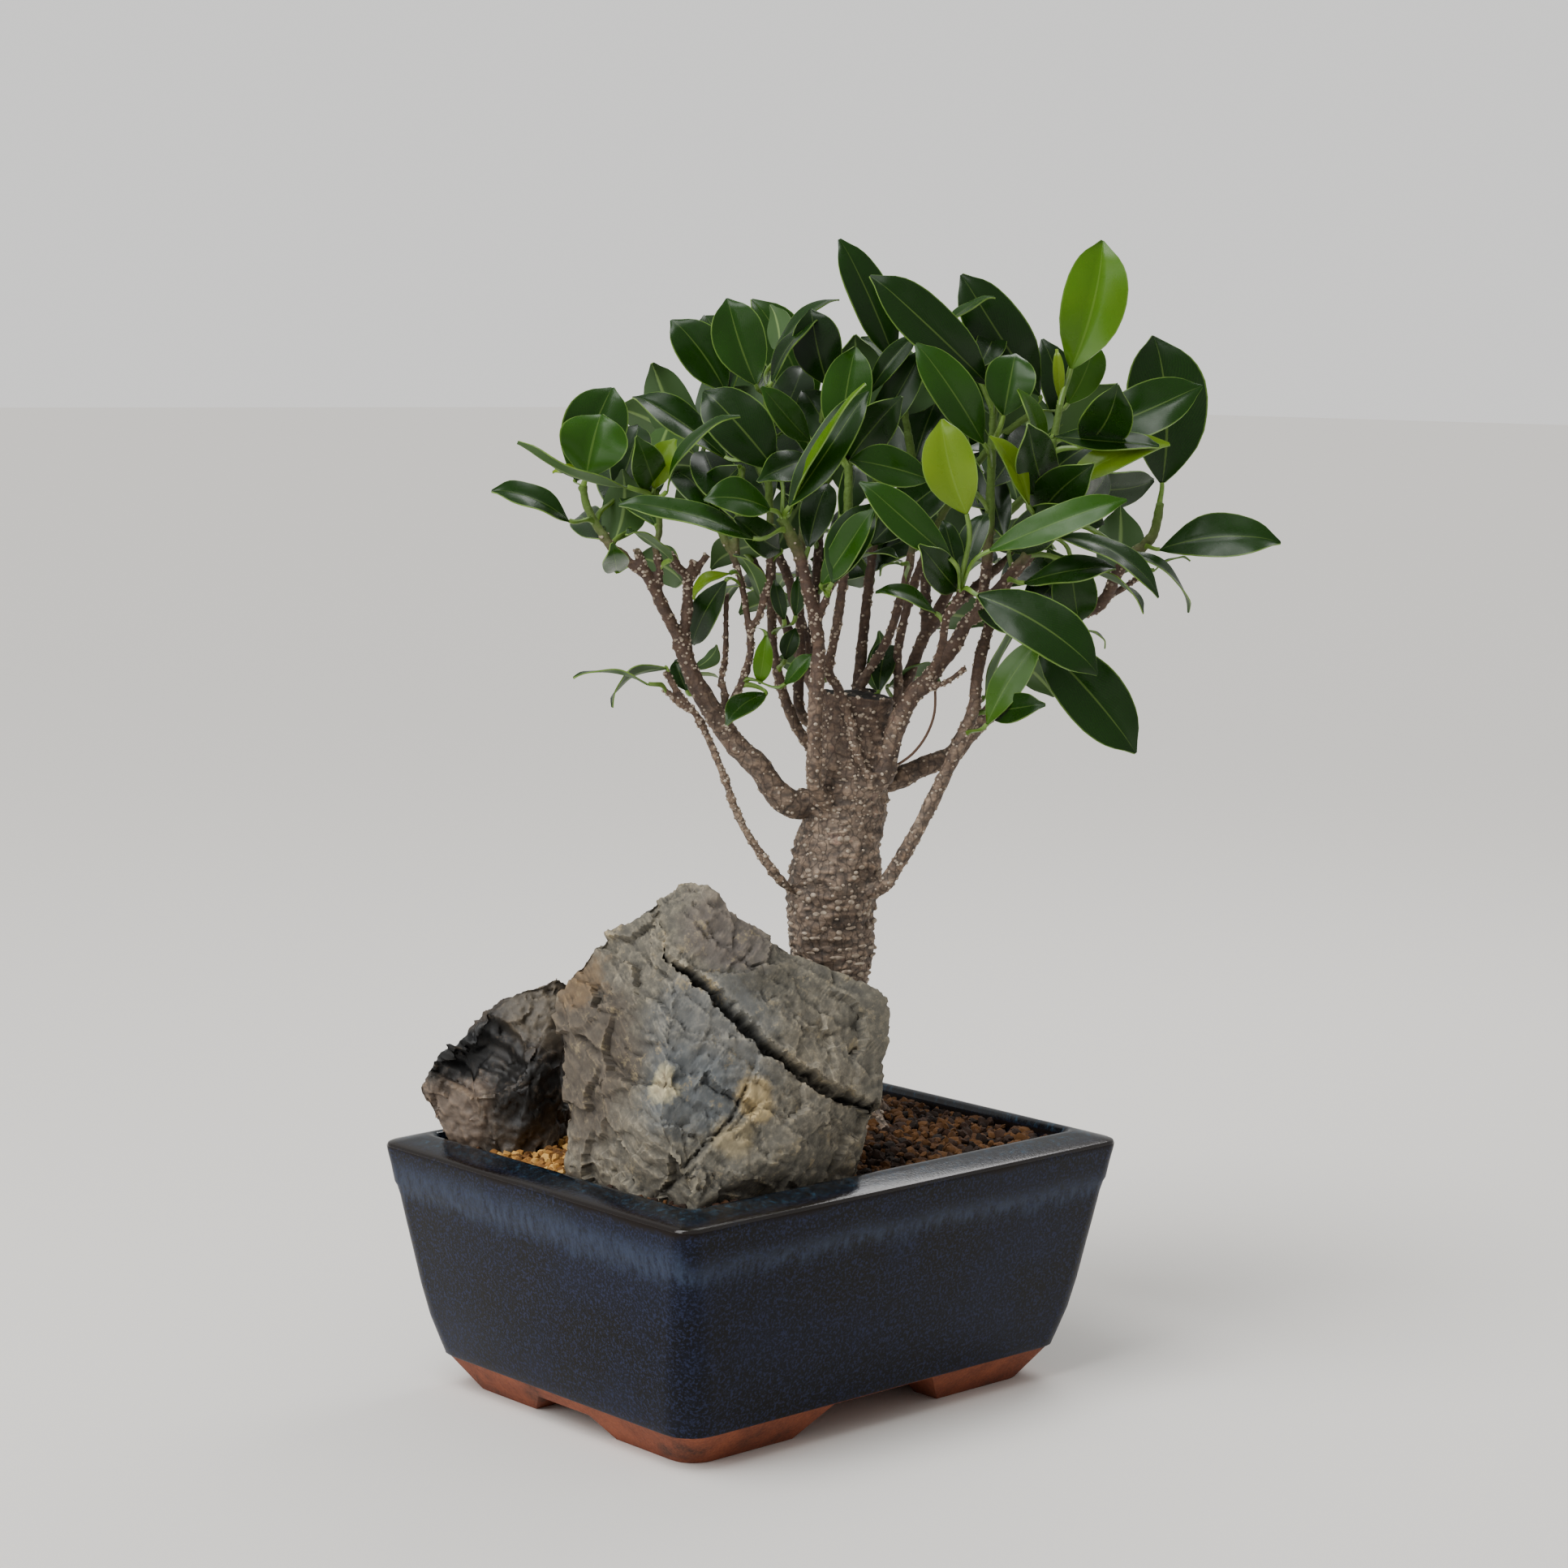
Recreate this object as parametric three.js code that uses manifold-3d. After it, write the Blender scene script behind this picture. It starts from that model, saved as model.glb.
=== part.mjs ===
// A small ficus bonsai in a rectangular stoneware pot, with two rocks beside the trunk.
// Millimetres, +Z up. The pot's long side lies along X. The origin is under the middle of the whole plant.
import * as THREE from "three";
import { ConvexGeometry } from "three/addons/geometries/ConvexGeometry.js";
import { mergeVertices } from "three/addons/utils/BufferGeometryUtils.js";
import Module from "manifold-3d";

const wasm = await Module();
wasm.setup();

// ---------- driving dimensions ----------
const GAP = 0.3; // clearance between pieces that touch
const RIM = { halfX: 75, halfY: 60, z: 63.5 }; // outer edge of the rim
const GLAZE_LINE = 9; // the glaze stops here, bare clay below
const BAND_Z = 52; // underside of the upright band below the rim
const CREST_Z = 66; // inner crest of the lip
const FLOOR_TOP = 13;
const RECESS_TOP = 7; // underside of the pot floor
const FOOT_INSET = 16.6; // how far the foot stands in from the rim
const MOUTH = { halfX: 66, halfY: 51 }; // inner opening at the crest
const FLOOR = { halfX: 57, halfY: 42 }; // inside of the walls at the floor
const DRAIN = { x: 32, radius: 6 };
const MESH_PITCH = 4.5;
const MESH_BAR = 1.5;
const MESH_CELLS = 3;
const MESH_THICK = 1;
const WIRE_RADIUS = 0.5;
const SOIL_EDGE_Z = 62;
const GRAVEL = { bottom: 60.5, top: 63.6 };
const TRUNK_X = 30; // where the trunk stands in the pot
const TURN = THREE.MathUtils.degToRad(-42.56); // the planting faces the pot's front left corner

// ---------- solids ----------
function toSolid(geometry) {
  const bare = geometry.clone();
  bare.deleteAttribute("normal");
  bare.deleteAttribute("uv");
  const merged = mergeVertices(bare, 1e-4);
  return new wasm.Manifold(new wasm.Mesh({
    numProp: 3,
    vertProperties: new Float32Array(merged.attributes.position.array),
    triVerts: new Uint32Array(merged.index.array),
  }));
}

function toGeometry(solid) {
  const mesh = solid.getMesh();
  const geometry = new THREE.BufferGeometry();
  geometry.setAttribute("position", new THREE.BufferAttribute(mesh.vertProperties, 3));
  geometry.setIndex(new THREE.BufferAttribute(mesh.triVerts, 1));
  geometry.computeVertexNormals();
  return geometry;
}

function largestPart(solid) {
  const parts = solid.decompose();
  parts.sort((one, other) => other.volume() - one.volume());
  return parts[0];
}

// A closed skin through a stack of rings, each ring counter-clockwise seen from the last one.
function skin(rings) {
  const count = rings[0].length;
  const positions = rings.flat().flatMap((point) => [point.x, point.y, point.z]);
  const index = [];
  for (let row = 0; row + 1 < rings.length; row += 1) {
    for (let i = 0; i < count; i += 1) {
      const a = row * count + i;
      const b = row * count + ((i + 1) % count);
      index.push(a, b, b + count, a, b + count, a + count);
    }
  }
  const last = (rings.length - 1) * count;
  for (let i = 1; i + 1 < count; i += 1) {
    index.push(0, i + 1, i, last, last + i, last + i + 1);
  }
  const geometry = new THREE.BufferGeometry();
  geometry.setAttribute("position", new THREE.Float32BufferAttribute(positions, 3));
  geometry.setIndex(index);
  geometry.computeVertexNormals();
  return geometry;
}

function roundedRing(halfX, halfY, radius, z, steps = 3) {
  const ring = [];
  const corners = [[1, 1, 0], [-1, 1, 90], [-1, -1, 180], [1, -1, 270]];
  for (const [sideX, sideY, start] of corners) {
    for (let i = 0; i <= steps; i += 1) {
      const angle = THREE.MathUtils.degToRad(start + (90 * i) / steps);
      const x = sideX * (halfX - radius) + radius * Math.cos(angle);
      const y = sideY * (halfY - radius) + radius * Math.sin(angle);
      ring.push(new THREE.Vector3(x, y, z));
    }
  }
  return ring;
}

// An upright prism over an outline in the XY plane.
function prism(outline, bottom, top) {
  const shape = new THREE.Shape(outline.map(([x, y]) => new THREE.Vector2(x, y)));
  const geometry = new THREE.ExtrudeGeometry(shape, { depth: top - bottom, bevelEnabled: false });
  return geometry.translate(0, 0, bottom);
}

const model = new THREE.Group();

function addNode(parent, name, geometry, color, roughness, metalness = 0) {
  const material = new THREE.MeshStandardMaterial({ color, roughness, metalness });
  const mesh = new THREE.Mesh(geometry, material);
  mesh.name = name;
  parent.add(mesh);
  return mesh;
}

// ---------- pot ----------
// Half widths of the pot's inside at a height; the walls lean outwards evenly.
function insideHalf(z) {
  const up = (z - FLOOR_TOP) / (CREST_Z - FLOOR_TOP);
  return {
    x: THREE.MathUtils.lerp(FLOOR.halfX, MOUTH.halfX, up),
    y: THREE.MathUtils.lerp(FLOOR.halfY, MOUTH.halfY, up),
  };
}

function insideRing(z, gap) {
  const half = insideHalf(z);
  return roundedRing(half.x - gap, half.y - gap, 4, z);
}

function outsideRing(inset, radius, z) {
  return roundedRing(RIM.halfX - inset, RIM.halfY - inset, radius, z);
}

// A trapezoid notch between two feet, running through the skirt along Y.
function footNotch(bottomHalf, topHalf, height, length) {
  const shape = new THREE.Shape();
  shape.moveTo(-bottomHalf - 2, -2);
  shape.lineTo(bottomHalf + 2, -2);
  shape.lineTo(topHalf, height);
  shape.lineTo(-topHalf, height);
  const geometry = new THREE.ExtrudeGeometry(shape, { depth: length, bevelEnabled: false });
  return geometry.translate(0, 0, -length / 2).rotateX(Math.PI / 2);
}

function potGeometry() {
  const outside = skin([
    outsideRing(FOOT_INSET, 8, 0),
    outsideRing(10.2, 8, GLAZE_LINE),
    outsideRing(8.8, 8, GLAZE_LINE + 3),
    outsideRing(1.8, 7, BAND_Z),
    outsideRing(0, 5, RIM.z - 1),
    outsideRing(0.5, 5, RIM.z),
    outsideRing(6, 4, 65.2),
    outsideRing(8.2, 4, CREST_Z),
  ]);
  const overTop = CREST_Z + 1;
  const cavity = skin([insideRing(FLOOR_TOP, 0), insideRing(CREST_Z, 0), insideRing(overTop, 0)]);
  const recess = skin([roundedRing(50, 35, 6, -1), roundedRing(49, 34, 6, RECESS_TOP)]);
  const shortNotch = footNotch(17, 10, 5.5, 160).rotateZ(Math.PI / 2);
  let pot = toSolid(outside).subtract(toSolid(cavity)).subtract(toSolid(recess));
  pot = pot.subtract(toSolid(shortNotch));
  for (const side of [-1, 1]) {
    const longNotch = footNotch(26, 17, GLAZE_LINE, 30).translate(0, side * 49, 0);
    pot = pot.subtract(toSolid(longNotch));
    const hole = new THREE.CylinderGeometry(DRAIN.radius, DRAIN.radius, 20, 16);
    hole.rotateX(Math.PI / 2).translate(side * DRAIN.x, 0, FLOOR_TOP);
    pot = pot.subtract(toSolid(hole));
  }
  return toGeometry(pot);
}

// ---------- drainage mesh and its wire ----------
const MESH_HALF = (MESH_CELLS * MESH_PITCH + MESH_BAR) / 2;
const MESH_BOTTOM = FLOOR_TOP + GAP;

// Flat bars crossing both ways, joined into one square of netting.
function drainMeshGeometry() {
  let netting = null;
  for (let i = 0; i <= MESH_CELLS; i += 1) {
    const offset = (i - MESH_CELLS / 2) * MESH_PITCH;
    for (const turn of [0, Math.PI / 2]) {
      const bar = new THREE.BoxGeometry(2 * MESH_HALF, MESH_BAR, MESH_THICK);
      bar.translate(0, offset, MESH_THICK / 2).rotateZ(turn);
      netting = netting === null ? toSolid(bar) : netting.add(toSolid(bar));
    }
  }
  return toGeometry(netting);
}

// A staple of wire: over the mesh, down through it and the drain hole, ends bent out under the floor.
function meshWireGeometry() {
  const top = MESH_BOTTOM + MESH_THICK + GAP + WIRE_RADIUS;
  const low = RECESS_TOP - GAP - WIRE_RADIUS;
  const corners = [
    [-10, low], [-MESH_PITCH, low], [-MESH_PITCH, top], [MESH_PITCH, top], [MESH_PITCH, low], [10, low],
  ].map(([x, z]) => new THREE.Vector3(x, 0, z));
  return limb(corners.map((point) => ({ point, radius: WIRE_RADIUS })), 8);
}

// ---------- tubes that taper, for wires, trunk and branches ----------
// Each station has a point and a radius; rings stand square to the way through.
function limb(stations, sides) {
  const rings = [];
  const normal = new THREE.Vector3();
  for (let i = 0; i < stations.length; i += 1) {
    const from = stations[Math.max(i - 1, 0)].point;
    const here = stations[i].point;
    const to = stations[Math.min(i + 1, stations.length - 1)].point;
    const along = to.clone().sub(from).normalize();
    if (i === 0) {
      normal.set(Math.abs(along.y) < 0.9 ? 0 : 1, Math.abs(along.y) < 0.9 ? 1 : 0, 0);
    }
    normal.addScaledVector(along, -normal.dot(along)).normalize();
    const sideways = along.clone().cross(normal);
    const inWay = here.clone().sub(from).normalize();
    const stretch = i === 0 || i === stations.length - 1 ? 1 : 1 / Math.max(0.7, inWay.dot(along));
    const ring = [];
    for (let k = 0; k < sides; k += 1) {
      const angle = (2 * Math.PI * k) / sides;
      const radius = stations[i].radius * stretch;
      ring.push(here.clone()
        .addScaledVector(normal, radius * Math.cos(angle))
        .addScaledVector(sideways, radius * Math.sin(angle)));
    }
    rings.push(ring);
  }
  return skin(rings);
}

// ---------- rocks ----------
// Corner points of each faceted rock: [right, back, up] from the pot's middle, in the turned frame.
const LARGE_ROCK = [
  [-42, -39, 50], [-14, -66, 50], [26, -34, 50], [9, -9, 50], [-30, -13, 50],
  [-46, -40, 63], [-13, -70, 64], [28, -36, 64], [-48, -37, 86], [30, -35, 78],
  [-22, -66, 82], [10, -58, 76], [-50, -31, 107], [32, -28, 106], [32, -31, 96],
  [-20, -52, 112], [8, -48, 103], [-18, -35, 137], [-10, -38, 133], [-28, -32, 130],
  [-40, -30, 120], [7, -32, 121], [16, -30, 114], [-19, -16, 122], [6, -10, 106],
  [-38, -16, 104], [12, -8, 70], [-32, -10, 70],
];
const SMALL_ROCK = [
  [-73, -10, 56], [-62, -17, 56], [-49, -11, 56], [-47, 3, 56], [-62, 7, 56],
  [-74, -9, 67], [-68, -16, 68], [-87, -8, 78], [-84, -12, 83], [-77, -12, 92],
  [-72, -2, 96], [-60, -8, 104], [-50, -6, 107], [-44, -2, 103], [-44, 5, 94],
  [-60, 8, 97], [-80, 0, 83], [-70, -18, 77], [-56, -20, 82], [-47, -13, 86],
];

// The faceted rock, or with some growth the hollow that leaves a clearance round it.
function rockGeometry(corners, growth) {
  const points = corners.map(([right, back, up]) => new THREE.Vector3(right, back, up));
  const middle = new THREE.Vector3();
  points.forEach((point) => middle.addScaledVector(point, 1 / points.length));
  for (const point of points) {
    const outwards = point.clone().sub(middle).normalize();
    point.addScaledVector(outwards, growth);
  }
  return new ConvexGeometry(points);
}

// The split that runs down across the front of the large rock, as a thin flat slab of air.
function rockSplit() {
  const slab = new THREE.BoxGeometry(72, 14, 2.4);
  slab.translate(0, -7, 0).rotateY(THREE.MathUtils.degToRad(38));
  return slab.translate(4, -44, 100);
}

// ---------- tree ----------
// Places on the tree: [right, up, front] from the foot of the trunk, in the turned frame.
const place = ([right, up, front]) => new THREE.Vector3(right, -front, up);

const TRUNK = [ // [right, up, radius]
  [-4, 50, 8], [-4, 57, 14], [-3, 63, 15.5], [-2.5, 70, 12], [-2, 80, 9.6], [-2, 98, 8.8],
  [-2.2, 110, 10.9], [-3, 120, 11.6], [-1.6, 130, 12.2], [-1, 136, 12], [0, 141, 10.5],
  [1.2, 150, 10.3], [2.2, 160, 10.5], [3, 170, 9.6], [3.7, 177.5, 9],
];

// Branches: thickness at the start and at the end, then the way they grew.
const BRANCHES = [
  // left side, from the big left limb
  [8, 4.5, [[-2, 147, 2], [-9, 149.5, 4], [-13, 149, 6], [-18, 153, 7], [-22, 159, 7],
    [-27.5, 164, 7], [-32, 170, 7], [-37, 178, 8], [-40, 184, 8], [-42.5, 192, 8]]],
  [3.4, 2.2, [[-42, 190, 8], [-44.5, 195, 8], [-47, 200, 8], [-51, 208, 9], [-54, 210, 9],
    [-59, 214, 8], [-61, 216, 7], [-64, 220, 6], [-67, 226, 6], [-68, 231, 6]]],
  [2, 1.8, [[-50.5, 207, 9], [-54, 215, 10]]],
  [2.2, 1.8, [[-48.5, 203, 8], [-48, 210, 9], [-49, 215, 9], [-48, 221, 9], [-49.5, 228, 9]]],
  [3, 2.4, [[-42, 190, 8], [-41, 199, 5], [-41, 207, 4], [-43.5, 210, 5], [-45.5, 213.5, 6]]],
  [2, 1.8, [[-41, 205, 4], [-39.5, 212, 4]]],
  [2, 1.8, [[-41, 205, 4], [-36, 213.5, 3]]],
  [2.4, 1.8, [[-8, 126, 4], [-14, 128, 9], [-18, 132.5, 12], [-22, 138, 12], [-25.5, 143.5, 12],
    [-28.5, 150, 12], [-30, 154.5, 12], [-33, 162, 12], [-36, 169, 13], [-38.5, 173.5, 14],
    [-42.5, 178, 14], [-46, 184, 14]]],
  [1.8, 1.6, [[-38, 173, 14], [-42.5, 176, 15], [-46.5, 180, 16]]],
  [2, 1.6, [[-31, 168, 7], [-31, 177, 5], [-32, 181, 4], [-31, 187.5, 2], [-31, 203, 1]]],
  [2.4, 1.8, [[-29, 166, 7], [-30, 171.5, 8], [-28, 178, 8], [-26, 182.5, 8], [-24.5, 189, 8],
    [-24.5, 194, 8], [-22.5, 198, 9], [-21, 203, 9], [-20, 209, 10], [-19, 222, 12]]],
  [2, 1.8, [[-24.5, 192, 8], [-26.5, 203.5, 6], [-28.5, 211, 4], [-33.5, 221, 2]]],
  [1.8, 1.6, [[-28, 209, 4], [-28.5, 220, 3], [-27, 236, 2]]],
  // middle
  [4.5, 3, [[-3, 148, 6], [-7.5, 155, 13], [-7.7, 164.5, 15], [-7.7, 174, 16], [-7.5, 182, 16],
    [-7, 190, 16], [-8, 197.5, 17], [-9.5, 203.5, 18], [-12, 213.5, 18], [-14.5, 219, 19], [-17, 224, 20]]],
  [2.2, 1.8, [[-7.5, 196, 17], [-6.5, 200, 17], [-4.5, 205.5, 18], [-0.5, 213, 18]]],
  [3.2, 2.4, [[6, 150, 5], [7, 156, 10], [4, 161, 11], [2, 168.5, 11], [0, 175.5, 10], [-2, 180, 10],
    [-4.5, 184.5, 9], [-3, 192, 8], [-1.5, 203, 8], [-0.5, 212, 8], [0, 226, 8], [0, 238, 6]]],
  [3.2, 2, [[-4, 160, -2], [-9.5, 164, -3], [-14, 172, -3], [-17.5, 182.5, -3], [-19, 192, -4],
    [-19.5, 211, -4], [-20, 224, -4], [-21, 240, -4], [-21, 256, -4]]],
  [1.8, 1.6, [[-20, 230, -4], [-27, 244, -5], [-30, 253, -6]]],
  [3.2, 2, [[-4, 166, -4], [-11.5, 172, -8], [-11.5, 187, -9], [-12, 205, -10], [-11, 222, -9],
    [-8, 240, -8], [-6, 253, -7]]],
  // right side
  [6, 4.5, [[4, 148, 2], [10, 157, 8], [12, 165.5, 9], [14, 172, 10], [17, 178, 10], [20, 181, 10]]],
  [4.2, 2.2, [[19, 180, 10], [27, 190, 10], [31, 197.5, 9], [34, 200, 9], [36, 215, 7], [36.5, 236, 6],
    [37, 252, 4]]],
  [2.4, 2, [[20, 180, 10], [24, 190.5, 16], [25, 199, 22], [27, 203, 25], [28.5, 207, 28]]],
  [1.8, 1.5, [[20, 180, 10], [25.5, 182, 13], [30.5, 186, 15]]],
  [3.2, 2, [[33, 199, 9], [36, 203, 10], [42, 210, 11], [48, 219, 11], [50, 232, 11], [52, 243, 8],
    [54, 253, 3]]],
  [4.4, 2.6, [[5, 126, 6], [10, 128.5, 11], [12.5, 132, 12], [18.5, 142.5, 12], [24, 154, 12],
    [29, 165, 12], [33, 175.5, 12], [33.5, 182, 11], [36, 193, 5], [41, 206, 3], [49, 216, 2],
    [57, 223, 1]]],
  [6, 2.6, [[4, 152, -4], [12, 153.5, -7], [20.5, 157.5, -8], [28.5, 161, -8], [33, 167, -8],
    [41.5, 175.5, -8], [45, 182.5, -8], [48, 188, -8], [54, 194, -8], [60, 198, -8], [67, 201.5, -8],
    [71.5, 211, -6], [78, 217.5, -5], [80, 221, -5], [81, 228, -4]]],
  [1.8, 1.4, [[62, 198.5, -8], [72, 205, -9], [80, 210.5, -9]]],
  [2.8, 2, [[1, 170, -4], [5, 180.5, -6], [10.5, 190, -6], [13.5, 199, -6], [17, 215, -6],
    [17, 235, -7], [13, 258, -8]]],
  [2.8, 2, [[8, 166, -4], [14, 176, -9], [14, 188, -11], [18, 205, -14], [26, 225, -15], [38, 242, -14],
    [49, 251, -13]]],
  // back
  [3.8, 2, [[-1, 158, -5], [-8, 178, -16], [-12, 196, -22], [-18, 212, -28], [-30, 226, -32],
    [-40, 236, -34]]],
  [3.8, 2, [[2, 162, -5], [4, 180, -18], [6, 200, -26], [8, 220, -33], [8, 238, -36]]],
  [3.8, 2, [[6, 158, -5], [14, 172, -18], [22, 192, -25], [34, 212, -30], [46, 226, -32], [56, 234, -33]]],
];

// Stations of a branch, its thickness running evenly from one end to the other.
function branchStations([first, last, way], growth) {
  return way.map((spot, i) => ({
    point: place(spot),
    radius: THREE.MathUtils.lerp(first, last, i / (way.length - 1)) / 2 + growth,
  }));
}

function treeSolid(growth) {
  const trunk = TRUNK.map(([right, up, radius]) => ({
    point: place([right, up, 0]),
    radius: radius + growth,
  }));
  let tree = toSolid(limb(trunk, 12));
  for (const branch of BRANCHES) {
    tree = tree.add(toSolid(limb(branchStations(branch, growth), 6)));
  }
  return tree;
}

// ---------- leaves ----------
// Each leaf: blade base, tip, width, turn about its own length (0 faces the front), sag.
const LEAVES = [
  [[-67, 233, 8], [-63.5, 249, 3], 18, 0, 2],
  [[-70, 232, 4], [-61, 256, -6], 17, 10, 1],
  [[-56, 231, 17], [-83, 242.5, 25], 10, 70, -3],
  [[-71, 222, 12], [-90, 230, 18], 10, 60, 2],
  [[-49.5, 230.5, 10], [-44.5, 243, 14], 8, -20, 1],
  [[-46, 230, 20], [-28.5, 250, 26], 8, -75, 4],
  [[-32, 238, -10], [-56, 254, -15], 12, 45, 2],
  [[-24, 219, 28], [-57, 228, 34], 10, 60, 3],
  [[-20, 226, 24], [-36, 229, 32], 11, 40, 2],
  [[-15, 227, 24], [4, 256, 27], 11, -30, 2],
  [[-2, 241, 8], [1.5, 267, 3], 13, 0, 1],
  [[-19, 236, 14], [-37, 255.6, 10], 16, 20, 2],
  [[-24, 257, 2], [-31.5, 279, 0], 14, 10, 1],
  [[-32, 255, -9], [-46, 273.5, -10], 13, 20, 1],
  [[-20, 262, -12], [-3.5, 280, -16], 8, -65, 3],
  [[-5.5, 257, -8], [-10, 276.5, -8], 13, 0, 1],
  [[12, 263, -10], [-2.7, 294.5, -8], 12, 25, 2],
  [[35, 258, 7], [5, 285, 12], 14, 20, 3],
  [[50, 255, -14], [29, 286, -14], 16, 20, 2],
  [[34, 243, 14], [16.5, 268, 17], 12, 15, 2],
  [[4, 243, -2], [18.3, 266.5, 0], 9, -10, 1],
  [[39, 250, 12], [42, 266, 8], 13, 0, 2],
  [[49.5, 236, 15], [42.5, 257, 21], 8, 50, 1],
  [[29, 226, 34], [22.3, 249.3, 35], 13.5, -10, 1],
  [[45, 228, 23], [35.3, 245.4, 27], 7, 40, 1],
  [[54, 232, 17], [79.5, 244.4, 24], 9, -40, 2],
  [[35, 217, 33], [68, 230.6, 38], 9, -35, 2],
  [[25, 215, 33], [2.8, 234, 38], 10, 20, 2],
  [[32, 206, 36], [61.7, 188, 44], 15, -20, 3],
  [[49, 193, 8], [74.5, 165, 16], 16.5, -10, 2],
  [[58, 214, -4], [61, 196, -6], 12, 0, 1],
  [[52, 220, 22], [78, 206.5, 30], 9, -50, 5],
  [[45, 208, 16], [67, 213, 25], 10, -50, 2],
  [[81, 216, -1], [111, 219, 6], 13, -35, 3],
  [[81.5, 233, -5], [79, 271, -9], 22, 10, 2],
  [[59, 245, 6], [89, 258.5, 12], 14, -20, 2],
  [[57, 262, -2], [64.7, 295, -5], 17, 0, 2],
  [[57, 253, -9], [64, 269.5, -13], 10, 10, 1],
  [[-4, 208, 26], [6, 228, 24], 11, -20, 1],
  [[6, 217, 12], [28, 236, 16], 12, -20, 2],
  [[20, 234, 22], [0, 239, 28], 11, 30, 2],
  [[-50, 181.5, 22], [-68.7, 184, 28], 7, 60, 2],
  [[36, 172, 18], [49, 194, 20], 9, -30, 1],
  // the back of the crown
  [[-41, 238, -37], [-62, 250, -42], 15, 150, 3],
  [[-38, 240, -40], [-30, 266, -48], 16, 170, 2],
  [[-10, 232, -42], [-26, 250, -56], 14, 160, 2],
  [[8, 242, -40], [2, 270, -46], 16, 180, 2],
  [[10, 238, -42], [30, 252, -58], 14, -160, 2],
  [[57, 237, -36], [72, 258, -42], 15, -165, 2],
  [[56, 232, -37], [84, 232, -46], 14, -140, 3],
];
const LEAF_THICK = 0.8;
const STALK_WIDTH = 1.6;
// Along the blade: how far, how wide (share of the full width).
const LEAF_STATIONS = [[0.06, 0.5], [0.25, 0.87], [0.5, 1], [0.75, 0.72], [0.92, 0.24]];

// A thin closed blade with a short stalk behind it, folded slightly up along its midrib.
function leafGeometry([base, tip, width, turn, sag]) {
  const start = place(base);
  const along = place(tip).sub(start);
  const length = along.length();
  along.normalize();
  const face = new THREE.Vector3(0, -1, 0);
  face.addScaledVector(along, -face.dot(along)).normalize();
  face.applyAxisAngle(along, THREE.MathUtils.degToRad(turn));
  const across = face.clone().cross(along);
  const section = (share, wide, thick) => {
    const bow = sag * 4 * share * (1 - share);
    const middle = start.clone().addScaledVector(along, length * share).addScaledVector(face, bow);
    const lift = wide * 0.12;
    return [
      middle.clone().addScaledVector(across, wide / 2).addScaledVector(face, lift),
      middle.clone().addScaledVector(face, thick / 2),
      middle.clone().addScaledVector(across, -wide / 2).addScaledVector(face, lift),
      middle.clone().addScaledVector(face, -thick / 2),
    ];
  };
  const rings = [section(-0.12, STALK_WIDTH, 1.2), section(0, STALK_WIDTH, 1.2)];
  for (const [share, part] of LEAF_STATIONS) {
    rings.push(section(share, width * part, LEAF_THICK));
  }
  rings.push(section(1, 0.8, 0.4));
  return skin(rings);
}

// ---------- build ----------
addNode(model, "pot", potGeometry(), "#1f2634", 0.35);

for (const [side, word] of [[-1, "left"], [1, "right"]]) {
  const mesh = addNode(model, `drain_mesh_${word}`, drainMeshGeometry(), "#22301f", 0.6);
  mesh.position.set(side * DRAIN.x, 0, MESH_BOTTOM);
  const wire = addNode(model, `mesh_wire_${word}`, meshWireGeometry(), "#9a9a98", 0.4, 0.9);
  wire.position.set(side * DRAIN.x, 0, 0);
}

// The rocks and the tree keep their own turned frames.
const rocks = new THREE.Group();
rocks.rotation.z = TURN;
model.add(rocks);
const planting = new THREE.Group();
planting.rotation.z = TURN;
planting.position.x = TRUNK_X;
model.add(planting);
model.updateMatrixWorld(true);

const largeRock = toSolid(rockGeometry(LARGE_ROCK, 0)).subtract(toSolid(rockSplit()));
addNode(rocks, "large_rock", toGeometry(largeRock), "#77766f", 0.9);
addNode(rocks, "small_rock", rockGeometry(SMALL_ROCK, 0), "#4a4642", 0.8);
addNode(planting, "tree", toGeometry(treeSolid(0)), "#6d5f55", 0.85);

// Hollows in the soil, each a little larger than what stands in it.
const clearance = 2 * GAP;
const rockHollows = [LARGE_ROCK, SMALL_ROCK].map((corners) => (
  toSolid(rockGeometry(corners, clearance).applyMatrix4(rocks.matrixWorld))
));
const treeHollow = toSolid(toGeometry(treeSolid(GAP)).applyMatrix4(planting.matrixWorld));
const gravelOutline = [[-64.5, -4], [-40, 8], [-30, 18], [-34, 32], [-64.5, 32]];
const gravelBed = [[-70, -7], [-39.6, 7.4], [-29.4, 18], [-33.4, 32.5], [-70, 32.5]];

const soilRings = [
  insideRing(FLOOR_TOP + GAP, GAP),
  insideRing(SOIL_EDGE_Z, GAP),
  roundedRing(48, 36, 12, 63.5),
  roundedRing(24, 18, 10, 65.5),
];
soilRings[3].forEach((point) => point.add(new THREE.Vector3(14, 0, 0)));
let soil = toSolid(skin(soilRings));
for (const hollow of [...rockHollows, treeHollow]) {
  soil = soil.subtract(hollow);
}
soil = soil.subtract(toSolid(prism(gravelBed, GRAVEL.bottom - GAP, 75)));
const wireTop = MESH_BOTTOM + MESH_THICK + 2 * (GAP + WIRE_RADIUS);
for (const side of [-1, 1]) {
  const reach = MESH_HALF + GAP;
  const bed = new THREE.BoxGeometry(2 * reach, 2 * reach, 10);
  bed.translate(side * DRAIN.x, 0, wireTop - 5);
  soil = soil.subtract(toSolid(bed));
}
addNode(model, "soil_bed", toGeometry(largestPart(soil)), "#3b2a20", 1);

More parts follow.
